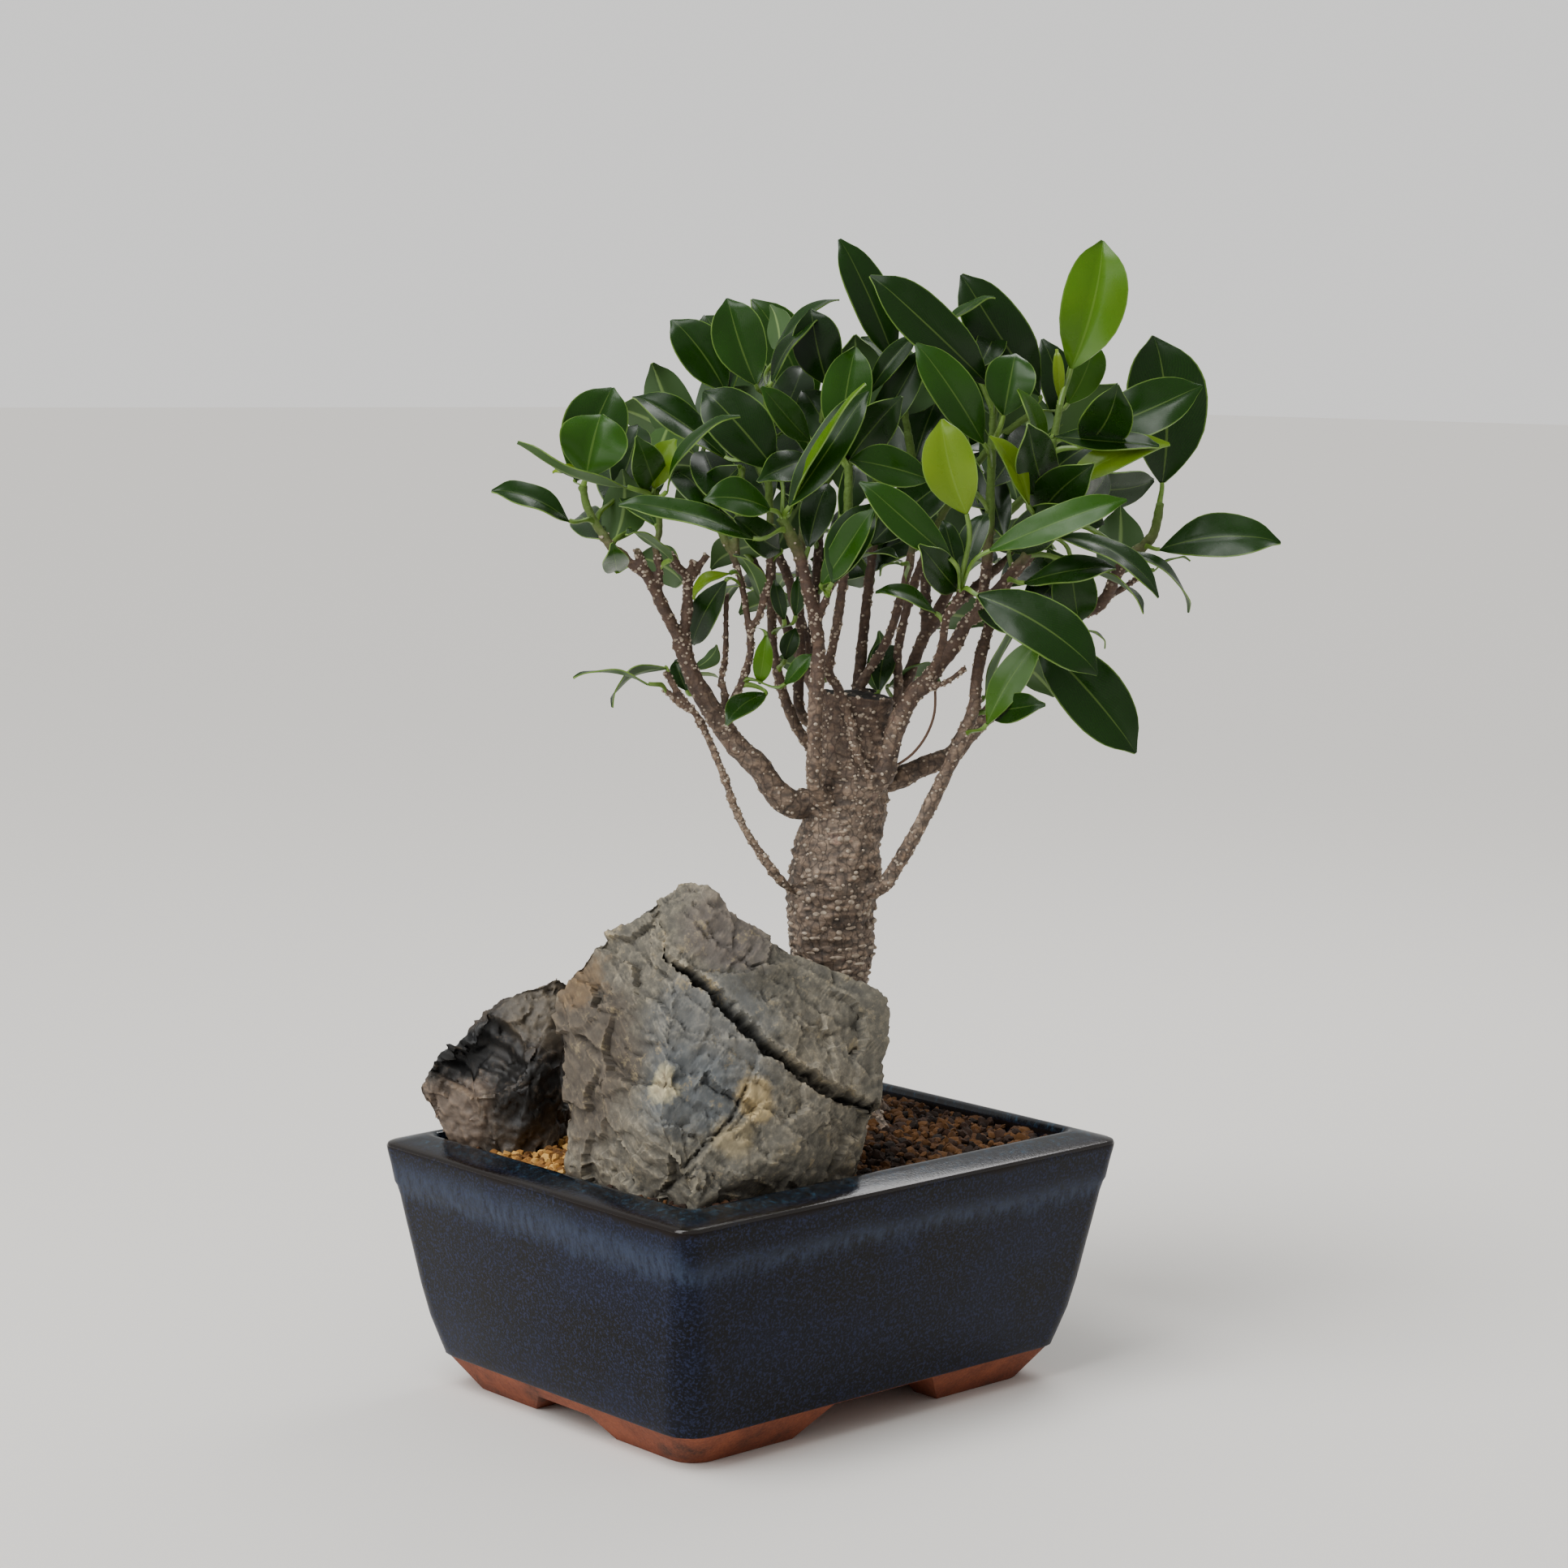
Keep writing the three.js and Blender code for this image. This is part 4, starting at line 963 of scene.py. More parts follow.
def limb_ways():
    """Every limb as (way in tree millimetres, radii)."""
    limbs = []
    for seed, (first, last, spots) in enumerate(BRANCHES):
        way = rounded_way(spots, 4)
        radii = [(first + (last - first) * i / (len(way) - 1)) / 2 for i in range(len(way))]
        limbs.append((way, knobbly(radii, way, seed)))
    return limbs


def trunk_at(up):
    """How far right the trunk's middle is at a height, and its radius there."""
    right, heights, radii = zip(*TRUNK)
    return np.interp(up, heights, right), np.interp(up, heights, radii)


def build_tree():
    bark = ficus_bark()
    trunk_way = rounded_way([(right, up, radius) for right, up, radius in TRUNK], 4)
    parts = [tube_along("trunk", [on_tree(x, z, 0) for x, z, _ in trunk_way],
                        [r * MM for _, _, r in trunk_way], 28)]
    for way, radii in limb_ways():
        parts.append(tube_along("limb", [on_tree(*spot) for spot in way], [r * MM for r in radii], 12))
    tree = join(parts, "ficus_wood")
    apply_modifier(tree, "REMESH", mode="VOXEL", voxel_size=0.55 * MM)
    apply_modifier(tree, "SMOOTH", factor=0.4, iterations=2)
    places, normals = vertex_places(tree), vertex_normals(tree)
    local = (places - np.array(TRUNK_FOOT)) / MM
    up = local[:, 2]
    trunk_x, trunk_r = trunk_at(up)
    across = local @ np.array(RIGHT)
    behind = local @ np.array(BACK)
    from_axis = np.hypot(across - trunk_x, behind)
    on_trunk = np.clip(1 - (from_axis - trunk_r - 1.5) / 2.5, 0, 1) * (up < 179)
    # shallow uneven swellings, and tight cross wrinkles round the trunk
    squeezed = local * np.array([0.28, 0.28, 1.0])
    wrinkles = noise_at(squeezed, 1.5, 31, 3)
    lumps = noise_at(local, 9, 32, 3)
    fine = noise_at(local, 1.6, 33, 2)
    rise = on_trunk * (0.85 * lumps + 0.75 * wrinkles) + (1 - on_trunk) * (0.2 * fine)
    places = places + normals * (rise[:, None] * MM)
    set_places(tree, places)
    tree.data.materials.append(bark)
    tree.data.materials.append(sawn_wood())
    for face in tree.data.polygons:
        if face.normal.z > 0.8 and abs(face.center.z / MM - SAWN_Z) < 4:
            spot = (face.center - TRUNK_FOOT) / MM
            if math.hypot(spot.dot(RIGHT) - SAWN_X, spot.dot(BACK)) < SAWN_RADIUS:
                face.material_index = 1
    smooth(tree, 180)
    finish_piece(tree, "bark", "tree")
    build_lenticels(tree)
    return tree


def build_lenticels(tree):
    """Pale raised pores: wide and in rows on the trunk, small and round on the branches."""
    picker = random.Random(7)
    surface = surface_of(tree)
    corners, triangles = ball()
    points, faces = [], []

    def add_pore(hit, normal, width, tall, proud):
        side = Vector((0, 0, 1)).cross(normal)
        if side.length < 0.2:
            return
        side.normalize()
        upward = normal.cross(side)
        base = len(points)
        for spot in corners:
            away = side * spot.x * width + upward * spot.y * tall + normal * spot.z * proud
            points.append(hit + away * MM)
        faces.extend([tuple(base + i for i in face) for face in triangles])

    row_z = 63.0
    while row_z < 173:
        x, _ = trunk_at(row_z)
        low_down = row_z < 117
        count = 17 if low_down else 26
        for k in range(count):
            if picker.random() < (0.2 if low_down else 0.42):
                continue
            angle = 2 * math.pi * (k + picker.uniform(-0.4, 0.4)) / count
            z = row_z + picker.uniform(-1.1, 1.1)
            out = RIGHT * math.cos(angle) + BACK * math.sin(angle)
            start = on_tree(x, z, 0) + out * 30 * MM
            hit, normal, _, _ = surface.ray_cast(start, -out)
            if hit is None or (hit - on_tree(x, z, 0)).length > 15.5 * MM:
                continue
            if low_down:
                add_pore(hit, normal, picker.uniform(0.7, 2.3), picker.uniform(0.4, 0.75),
                         picker.uniform(0.3, 0.65))
            else:
                size = picker.uniform(0.45, 1.1) if row_z < 142 else picker.uniform(0.3, 0.75)
                add_pore(hit, normal, size, size * picker.uniform(0.55, 0.9), size * 0.5)
        row_z += picker.uniform(1.5, 2.3)
    for way, radii in limb_ways():
        for spot, radius in zip(way, radii):
            if spot[1] > CROWN_TWIGS_Z:
                continue
            for _ in range(7 if radius > 1.2 else 4):
                jump = Vector((picker.gauss(0, 1), picker.gauss(0, 1),
                               picker.gauss(0, 1) * 1.4)) * radius * MM
                hit, normal, _, _ = surface.find_nearest(on_tree(*spot) + jump * 2)
                if hit is not None:
                    size = picker.uniform(0.2, 0.44)
                    add_pore(hit, normal, size * 1.2, size, size * 0.7)
    pores = mesh_piece("bark_lenticels", points, faces, [lenticel_cork()])
    smooth(pores, 180)
    return finish_piece(pores, "bark")


# ---------- leaves ----------
# Leaf: blade base, tip, width, turn about its own length (0 faces the front), sag, tone (0 dark to 1 young; a
# dark tone stands partly for the leaf's age and partly for painted shade).
LEAVES = [
    ((-67, 233, 8), (-63.5, 249, 3), 18, 0, 2, 0.5),
    ((-70, 232, 4), (-61, 256, -6), 17, 10, 1, 0.3),
    ((-56, 231, 17), (-83, 242.5, 25), 10, 100, -3, 0.2),
    ((-71, 222, 12), (-90, 230, 18), 10, 60, 2, 0.25),
    ((-49.5, 230.5, 10), (-44.5, 243, 14), 8, -20, 1, 0.85),
    ((-46, 230, 20), (-28.5, 250, 26), 8, -75, 4, 0.2),
    ((-32, 238, -10), (-56, 254, -15), 12, 45, 2, 0.1),
    ((-24, 219, 28), (-57, 228, 34), 10, 60, 3, 0.3),
    ((-20, 226, 24), (-36, 229, 32), 11, 40, 2, 0.3),
    ((-15, 227, 24), (4, 256, 27), 11, -30, 2, 0.15),
    ((-2, 241, 8), (1.5, 267, 3), 13, 0, 1, 0.35),
    ((-19, 236, 14), (-37, 255.6, 10), 16, 20, 2, 0.05),
    ((-24, 257, 2), (-31.5, 279, 0), 14, 10, 1, 0.3),
    ((-32, 255, -9), (-46, 273.5, -10), 13, 20, 1, 0.2),
    ((-20, 262, -12), (-3.5, 280, -16), 8, -65, 3, 0.2),
    ((-5.5, 257, -8), (-10, 276.5, -8), 13, 0, 1, 0.0),
    ((12, 263, -10), (-2.7, 294.5, -8), 12, 25, 2, 0.1),
    ((35, 258, 7), (5, 285, 12), 14, 20, 3, 0.05),
    ((50, 255, -14), (29, 286, -14), 16, 20, 2, 0.05),
    ((34, 243, 14), (16.5, 268, 17), 12, 15, 2, 0.3),
    ((4, 243, -2), (18.3, 266.5, 0), 9, -10, 1, 0.1),
    ((39, 250, 12), (42, 266, 8), 13, 0, 2, 0.3),
    ((49.5, 236, 15), (42.5, 257, 21), 8, 50, 1, 0.6),
    ((29, 226, 34), (22.3, 249.3, 35), 13.5, -10, 1, 0.9),
    ((45, 228, 23), (35.3, 245.4, 27), 7, 40, 1, 0.85),
    ((54, 232, 17), (79.5, 244.4, 24), 9, -40, 2, 0.85),
    ((35, 217, 33), (68, 230.6, 38), 9, -35, 2, 0.45),
    ((25, 215, 33), (2.8, 234, 38), 10, 20, 2, 0.3),
    ((32, 206, 36), (61.7, 188, 44), 15, -20, 3, 0.1),
    ((49, 193, 8), (74.5, 165, 16), 16.5, -10, 2, 0.15),
    ((58, 214, -4), (61, 196, -6), 12, 0, 1, 0.3),
    ((52, 220, 22), (78, 206.5, 30), 9, -50, 5, 0.2),
    ((45, 208, 16), (67, 213, 25), 10, -50, 2, 0.1),
    ((81, 216, -1), (111, 219, 6), 13, -35, 3, 0.15),
    ((81.5, 233, -5), (79, 271, -9), 22, 10, 2, 0.1),
    ((59, 245, 6), (89, 258.5, 12), 14, -20, 2, 0.15),
    ((57, 262, -2), (64.7, 295, -5), 17, 0, 2, 0.7),
    ((57, 253, -9), (64, 269.5, -13), 10, 10, 1, 0.55),
    ((-4, 208, 26), (6, 228, 24), 11, -20, 1, 0.2),
    ((6, 217, 12), (28, 236, 16), 12, -20, 2, 0.05),
    ((20, 234, 22), (0, 239, 28), 11, 30, 2, 0.3),
    ((-50, 181.5, 22), (-68.7, 184, 28), 7, 100, 2, 0.2),
    ((36, 172, 18), (49, 194, 20), 9, -30, 1, 0.55),
    # the back of the crown
    ((-41, 238, -37), (-62, 250, -42), 15, 150, 3, 0.2),
    ((-38, 240, -40), (-30, 266, -48), 16, 170, 2, 0.1),
    ((-10, 232, -42), (-26, 250, -56), 14, 160, 2, 0.25),
    ((8, 242, -40), (2, 270, -46), 16, 180, 2, 0.1),
    ((10, 238, -42), (30, 252, -58), 14, -160, 2, 0.15),
    ((57, 237, -36), (72, 258, -42), 15, -165, 2, 0.3),
    ((56, 232, -37), (84, 232, -46), 14, 40, 3, 0.15),
]
# The smaller and inner leaves, by the part of the crown that they fill.
INNER_LEAVES = {
    "left": [
        ((-63, 217, 4), (-71, 222, 3), 9, 20, 1, 0.1), ((-59, 209, 9), (-59, 216, 10), 7, 10, 1, 0.4),
        ((-50, 236, -12), (-47, 247, -14), 12, 160, 1, 0.2), ((-49, 229, 5), (-53, 243, 3), 9, 10, 1, 0.35),
        ((-60, 228, -5), (-55, 246, -8), 10, 0, 1, 0.1), ((-56, 220, 1), (-62, 237, 0), 13, 10, 1, 0.1),
        ((-49, 221, 9), (-58, 231, 12), 9, 30, 1, 0.35), ((-45, 213, 14), (-55, 221, 18), 8, 110, 1, 0.25),
        ((-28, 236, 4), (-36.5, 227.6, 8), 10, 30, 2, 0.1), ((-31, 207, 7), (-40, 189, 9), 8, 20, 1, 0.1),
        ((-30, 209, 10), (-39.7, 203.5, 13), 5, 60, 2, 0.85),
        ((-21.5, 201, 4), (-28, 215, 5), 7, 120, 1, 0.2),
        ((-20.5, 193, 8), (-22, 180.5, 9), 5, 0, 1, 0.7), ((-20.5, 178, 10), (-30, 172.5, 14), 7, 40, 1, 0.2),
        ((-46, 185, 14), (-60, 176.6, 18), 7, 110, 3, 0.2),
        ((-39, 183, -5), (-33, 188.7, -7), 6, 130, 1, 0.2),
        ((-41, 178, 2), (-44, 186, 1), 5, 0, 1, 0.1), ((-34, 222, 0), (-46, 234, -4), 11, 30, 2, 0.15),
        ((-68, 234, 6), (-75.5, 234.5, 8), 3, 40, 1, 0.95), ((-28, 222, 3), (-38, 240, 2), 12, 20, 2, 0.1),
    ],
    "middle": [
        ((-31, 254, -8), (-38, 275, -12), 12, 0, 1, 0.1), ((-20, 257.5, 2), (-7.8, 274.5, 4), 8, -60, 2, 0.1),
        ((-18, 266, -16), (-20, 277, -20), 8, 150, 1, 0.2), ((-10, 243, 9), (-22, 256.5, 11), 8, 20, 1, 0.3),
        ((-15, 225, 20), (2.7, 258, 22), 7, -80, 2, 0.75), ((5, 255, 0), (17, 270.5, 2), 6, -20, 1, 0.1),
        ((-6.5, 207.5, 22), (5.4, 227, 20), 9, -40, 1, 0.35), ((0, 212, 10), (12, 216, 12), 7, -100, 1, 0.2),
        ((-10, 216, 14), (-5, 232, 15), 9, 0, 1, 0.1), ((-2, 224, 8), (2, 238, 9), 8, 20, 1, 0.25),
        ((-16, 197, 4), (-18.5, 207, 5), 4, 0, 1, 0.2), ((-13, 198, 4), (-12.5, 208, 5), 4, 0, 1, 0.2),
        ((-21, 202, -5), (-26, 203.5, -6), 5, 40, 1, 0.2), ((-15.5, 186.5, 2), (-13, 194.5, 3), 5, 0, 1, 0.1),
        ((-15.4, 181, 12), (-8.6, 189, 14), 5, -30, 1, 0.4), ((14, 211.5, 4), (8, 210, 6), 4, 90, 1, 0.25),
        ((22.5, 200, 17), (7.7, 206.5, 22), 6, 60, 2, 0.4), ((8.5, 177.5, -8), (10, 191, -9), 8, 150, 1, 0.2),
        ((9, 178, -3), (12, 190, -4), 7, 0, 1, 0.1), ((-20, 226, -6), (-30, 246, -9), 12, 20, 1, 0.1),
        ((-9, 226, -9), (-20, 244, -12), 12, 10, 1, 0.05), ((0, 236, 2), (-12, 256, 0), 11, 10, 1, 0.1),
        ((0, 238, 5), (12, 254, 3), 11, -10, 1, 0.1), ((16, 232, -7), (4, 250, -9), 12, 10, 1, 0.1),
        ((-10, 238, 4), (-22, 234, 10), 9, 20, 1, 0.2), ((17, 236, -8), (26, 258, -10), 11, 0, 1, 0.15),
        ((-21, 243, -4), (-12, 262, -7), 11, 0, 1, 0.15), ((-17, 215, 8), (-28, 224, 10), 9, 30, 1, 0.15),
    ],
    "right": [
        ((24, 272, -4), (37, 280.5, -6), 6, -70, 1, 0.3), ((33, 262, 0), (38.5, 272.5, 0), 8, 0, 1, 0.1),
        ((61, 195, 0), (68, 191.5, 1), 4, -90, 1, 0.2), ((70, 216, 10), (89.7, 200, 14), 7, -70, 4, 0.2),
        ((60, 211, 12), (75.2, 202.5, 15), 8, -100, 2, 0.2), ((58, 224, 0), (66.3, 222.7, 1), 6, -20, 1, 0.0),
        ((60, 243, 12), (66, 259.5, 12), 13, 0, 1, 0.1), ((52, 245, 12), (77, 243.5, 14), 8, -50, 1, 0.1),
        ((54, 254, 0), (53, 267, 0), 3, 0, 0.5, 0.95), ((40, 219, 8), (36, 236, 9), 9, 10, 1, 0.1),
        ((29, 210, 26), (35, 226, 24), 7, -20, 1, 0.05), ((28, 210, 24), (24, 224, 20), 6, 10, 1, 0.1),
        ((16, 184, -10), (19, 190, -10), 6, 150, 1, 0.2), ((37, 174.5, 12), (49, 178.5, 14), 8, -30, 1, 0.15),
        ((36, 178, 6), (44, 197, 7), 6, -110, 1, 0.25), ((80, 210.5, -4), (89, 214, -5), 4, -90, 1, 0.2),
        ((51, 230, 8), (44, 248, 6), 12, 10, 1, 0.1), ((48, 222, 4), (60, 238, 2), 12, -10, 1, 0.1),
        ((36, 226, 4), (24, 242, 2), 12, 10, 1, 0.05), ((37, 232, 3), (50, 246, 0), 12, -10, 1, 0.1),
        ((42, 216, 6), (54, 228, 6), 11, -20, 1, 0.1), ((57, 224, 0), (70, 236, -2), 12, 35, 1, 0.1),
        ((30, 232, -15), (20, 252, -18), 12, 10, 1, 0.1), ((37, 250, 2), (28, 268, -2), 11, 10, 1, 0.1),
        ((48, 197, -4), (60, 208, -6), 11, -20, 1, 0.1), ((40, 206, -2), (52, 214, 4), 10, -30, 1, 0.1),
        ((28, 206, 22), (18, 218, 20), 9, 10, 1, 0.1), ((34, 203, 6), (46, 196, 8), 9, -20, 1, 0.1),
    ],
    "back": [
        ((-30, 227, -33), (-46, 222, -42), 13, 140, 3, 0.2),
        ((-20, 214, -30), (-36, 208, -38), 12, 130, 2, 0.3),
        ((-13, 200, -24), (-28, 196, -34), 11, 130, 2, 0.2),
        ((-36, 234, -30), (-56, 234, -26), 13, 120, 2, 0.15),
        ((-24, 222, -28), (-34, 242, -24), 13, 20, 2, 0.1),
        ((-18, 213, -30), (-8, 232, -40), 14, 170, 2, 0.1),
        ((7, 206, -30), (-8, 210, -44), 13, 150, 2, 0.2), ((8, 214, -33), (24, 220, -46), 13, -150, 2, 0.1),
        ((8, 228, -36), (-6, 240, -50), 14, 160, 2, 0.1), ((8, 234, -34), (18, 258, -34), 14, -170, 2, 0.15),
        ((24, 196, -26), (38, 194, -38), 13, -140, 2, 0.2), ((32, 210, -30), (22, 226, -42), 13, 170, 2, 0.1),
        ((38, 216, -31), (56, 214, -42), 13, -140, 2, 0.15),
        ((46, 227, -32), (40, 250, -38), 14, 175, 2, 0.1),
        ((52, 231, -32), (70, 244, -28), 13, -40, 2, 0.1), ((48, 228, -33), (64, 220, -44), 12, -130, 2, 0.3),
        ((38, 243, -15), (44, 264, -22), 14, 180, 2, 0.1), ((26, 226, -16), (14, 242, -24), 13, 170, 2, 0.1),
        ((-20, 240, -6), (-32, 256, -16), 13, 160, 2, 0.1), ((-8, 240, -9), (2, 258, -18), 13, 180, 2, 0.15),
        ((-42, 206, 2), (-54, 212, -8), 11, 150, 2, 0.2), ((-60, 216, 6), (-58, 234, -4), 12, 170, 2, 0.2),
        ((70, 208, -8), (72, 226, -18), 13, 180, 2, 0.15), ((46, 185, -9), (56, 176, -20), 12, -150, 2, 0.2),
        ((60, 199, -9), (54, 214, -20), 12, 170, 2, 0.1), ((-4, 180, -14), (-18, 184, -24), 10, 140, 2, 0.2),
        ((12, 178, -18), (26, 178, -30), 11, -140, 2, 0.2), ((56, 235, -34), (44, 258, -46), 14, 175, 2, 0.2),
        ((-40, 237, -35), (-52, 262, -36), 13, 170, 2, 0.15),
        ((14, 250, -8), (24, 268, -18), 13, 180, 2, 0.1),
    ],
}
BLADE_OUTLINE = [(0, 0.05), (0.05, 0.24), (0.12, 0.46), (0.22, 0.72), (0.34, 0.91), (0.46, 0.99), (0.56, 1.0),
                 (0.66, 0.96),
                 (0.76, 0.85), (0.84, 0.68), (0.9, 0.48), (0.94, 0.29), (0.97, 0.13), (1.0, 0.03)]
LEAF_THICKNESS = 0.35


class LeafMaker:
    """Makes leaves that grow from the nearest wood."""

    def __init__(self, settings):
        self.settings = settings
        self.materials = [leaf_upper(tuple(settings.mature), tuple(settings.young)), leaf_under(),
                          young_stalk()]
        self.wood = []
        for way, radii in limb_ways():
            self.wood.extend((np.array(spot), radius) for spot, radius in zip(way, radii))

    def nearest_wood(self, base, along):
        """The limb point that the stalk grows from: near, and rather behind the blade than under it."""
        gaps = []
        for spot, radius in self.wood:
            away = base - spot
            distance = np.linalg.norm(away)
            gaps.append(distance * (1.35 - 0.35 * float(away @ along) / max(distance, 0.1)))
        best = int(np.argmin(gaps))
        spot, radius = self.wood[best]
        below, _ = self.wood[max(best - 1, 0)]
        # the last step of a limb is rounded off, so the stalk starts a little further down
        return (below if np.linalg.norm(below - spot) < 6 else spot), radius

    def stalk(self, base, along, face):
        spot, radius = self.nearest_wood(base, along)
        away = base - spot
        length = np.linalg.norm(away)
        outwards = away / max(length, 0.1)
        start = spot + outwards * radius * 0.3
        bend_a = start + outwards * length * 0.25 + np.array([0, 0.22 * length, 0])
        bend_b = base - along * length * 0.4
        points, faces = [], []
        rings, sides = 8, 6
        side_a = np.cross(along, face)
        for i in range(rings):
            t = i / (rings - 1)
            u = 1 - t
            centre = u ** 3 * start + 3 * t * u ** 2 * bend_a + 3 * t * t * u * bend_b + t ** 3 * base
            radius = 0.85 - 0.25 * t
            for k in range(sides):
                angle = 2 * math.pi * k / sides
                points.append(centre + radius * (math.cos(angle) * side_a + math.sin(angle) * face))
        for i in range(rings - 1):
            for k in range(sides):
                a, b = i * sides + k, i * sides + (k + 1) % sides
                faces.append((a, b, b + sides, a + sides))
        faces.append(tuple(range(sides))[::-1])
        faces.append(tuple((rings - 1) * sides + k for k in range(sides)))
        return points, faces

    def make(self, name, row, seed):
        base, tip, width, turn, sag, tone = row
        picker = random.Random(seed)
        base, tip = np.array(base, float), np.array(tip, float)
        along = tip - base
        length = np.linalg.norm(along)
        along /= length
        facing = np.array([0.0, 0.0, 1.0])
        if turn is None:
            # grown towards the light: the upper side looks up, and in towards the trunk
            outwards = base - np.array([0, base[1], 0])
            facing = np.array([0, 1.0, 0]) - 0.5 * outwards / max(np.linalg.norm(outwards), 1)
            turn = picker.uniform(-25, 25)
        face = facing - along * (facing @ along)
        face /= np.linalg.norm(face)
        # the tree frame (right, up, front) is left-handed as (right, front, up),
        # so the turn is taken that way
        sideways = np.cross(along, face)
        angle = math.radians(turn + picker.uniform(-6, 6))
        face, sideways = (face * math.cos(angle) + sideways * math.sin(angle),
                          sideways * math.cos(angle) - face * math.sin(angle))
        rows, columns = 18, 8
        fold = math.tan(math.radians(self.settings.fold + picker.uniform(-4, 6)))
        hook = picker.uniform(0.5, 1.6)
        swing = picker.uniform(-0.05, 0.05) * length
        ripple = picker.uniform(0, 6.3)
        points, coordinates, faces = [], [], []
        for i in range(rows + 1):
            s = i / rows
            half = width / 2 * np.interp(s, [p[0] for p in BLADE_OUTLINE], [p[1] for p in BLADE_OUTLINE])
            half = max(half, 0.35)
            bow = sag * 4 * s * (1 - s)
            drop = hook * max(0.0, (s - 0.86) / 0.14) ** 1.5
            middle = base + along * (length * s) + face * (bow - drop) + sideways * (swing * 4 * s * (1 - s))
            for j in range(columns + 1):
                t = 2 * j / columns - 1
                curl = abs(t) * half * fold * (1.15 - 0.45 * abs(t))
                phase = 2 * math.pi * 1.5 * s + ripple + (1.3 if t > 0 else 0)
                wave = 0.045 * width * math.sin(phase) * t * t
                reach = half * t * math.cos(math.atan(fold) * abs(t) * 0.6)
                points.append(middle + sideways * reach + face * (curl + wave))
                coordinates.append((j / columns, s))
        for i in range(rows):
            for j in range(columns):
                a = i * (columns + 1) + j
                faces.append((a, a + 1, a + columns + 2, a + columns + 1))
        blade = mesh_piece(name, [on_tree(*p) for p in points], faces, self.materials)
        layer = blade.data.uv_layers.new(name="blade")
        for loop in blade.data.loops:
            layer.data[loop.index].uv = coordinates[loop.vertex_index]
        upper = on_tree(*face) - TRUNK_FOOT
        if blade.data.polygons[len(faces) // 2].normal.dot(upper) < 0:
            blade.data.flip_normals()
        apply_modifier(blade, "SOLIDIFY", thickness=LEAF_THICKNESS * MM, offset=-1, material_offset=1,
                       material_offset_rim=2, use_rim=True)
        stalk_points, stalk_faces = self.stalk(base, along, face)
        stem = mesh_piece("stalk", [on_tree(*p) for p in stalk_points], stalk_faces, self.materials)
        edit_whole(stem, bpy.ops.mesh.normals_make_consistent, inside=False)
        for polygon in stem.data.polygons:
            polygon.material_index = 2
        stem.data.uv_layers.new(name="blade")
        leaf = join([blade, stem], name)
        value = min(1.0, max(0.0, tone + picker.uniform(-0.04, 0.06)))
        set_attribute(leaf, "tone", [value] * len(leaf.data.vertices))
        return leaf


def deepened(row, seed):
    """A leaf that looks short from the front is one that points forwards or backwards."""
    base, tip, width, turn, sag, tone = row
    across = math.hypot(tip[0] - base[0], tip[1] - base[1])
    wanted = max(across * 1.15, min(34.0, 2.7 * width))
    if width < 7 or across > wanted:
        return row
    depth = math.sqrt(wanted ** 2 - across ** 2)
    away = base[2] < 4 or random.Random(seed).random() < 0.35
    return base, (tip[0], tip[1], base[2] + (-depth if away else depth)), width, turn, sag, tone


def kept_inside(row):
    """Shortens a leaf that would reach out of the object's box; one that starts outside it is left out."""
    base, tip, width, turn, sag, tone = row
    margin = (4 + width * 0.3) * MM
    low = [edge + margin for edge in CAD_BOX[0]]
    high = [edge - margin for edge in CAD_BOX[1]]

    def fits(spot):
        place = on_tree(*spot)
        return all(low[k] < place[k] < high[k] for k in range(3))

    base, tip = np.array(base, float), np.array(tip, float)
    if not fits(base):
        return None
    for _ in range(12):
        if fits(tip):
            break
        tip = base + (tip - base) * 0.93
    if np.linalg.norm(tip - base) < 1.3 * width:
        return None
    return tuple(base), tuple(tip), width, turn, sag, tone


def back_sprays():
    """Leaves set round the ends of the limbs that lean back."""
    picker = random.Random(23)
    rows = []
    for _, _, spots in BRANCHES[-len(BACK_SHOOTS):]:
        way = rounded_way(spots, 6)
        outwards = np.array([way[-1][0] * 0.5, 0, way[-1][2]])
        outwards /= np.linalg.norm(outwards)
        for i in range(9):
            spot = way[-1 - i * 2]
            spin = i * 2.4 + picker.uniform(-0.4, 0.4)
            side = np.array([math.cos(spin), 0.5 * math.sin(spin), math.sin(spin) * 0.8])
            aim = side + outwards * 0.75 + np.array([0, 0.75 - 0.09 * i, 0])
            aim /= np.linalg.norm(aim)
            if aim[2] > 0.25:
                aim[2] = 0.1
            length = picker.uniform(26, 37)
            base = spot + aim * picker.uniform(7, 10)
            rows.append((tuple(base), tuple(base + aim * length), length * picker.uniform(0.38, 0.46), None,
                         2.5,
                         picker.choice((0.05, 0.1, 0.2, 0.3))))
    return rows


def build_leaves(settings):
    maker = LeafMaker(settings)
    for i, row in enumerate(LEAVES):
        number = f"{i + 1:02d}"
        leaf = maker.make(f"ficus_leaf_{number}", row, i)
        smooth(leaf, 60)
        finish_piece(leaf, "leaf", f"leaf_{number}")
    seed = len(LEAVES)
    for part, rows in {**INNER_LEAVES, "sprays": back_sprays()}.items():
        made = []
        for row in rows:
            seed += 1
            if part in ("left", "middle", "right"):
                row = deepened(row, seed)
            row = kept_inside(row)
            if row is not None:
                made.append(maker.make("leaf", row, seed))
        group = join(made, f"inner_leaves_{part}")
        smooth(group, 60)
        finish_piece(group, "leaf")


# ---------- soil ----------
def soil_height(x, y):
    """Top of the soil in millimetres: level at the walls, mounded towards the trunk."""
    away = math.hypot((x - 24) / 52, (y + 2) / 42)
    mound = 4.0 * max(0.0, 1 - away) ** 1.2
    return SOIL_EDGE_Z + mound + 0.8 * noise.noise(Vector((x, y, 0)) / 11)


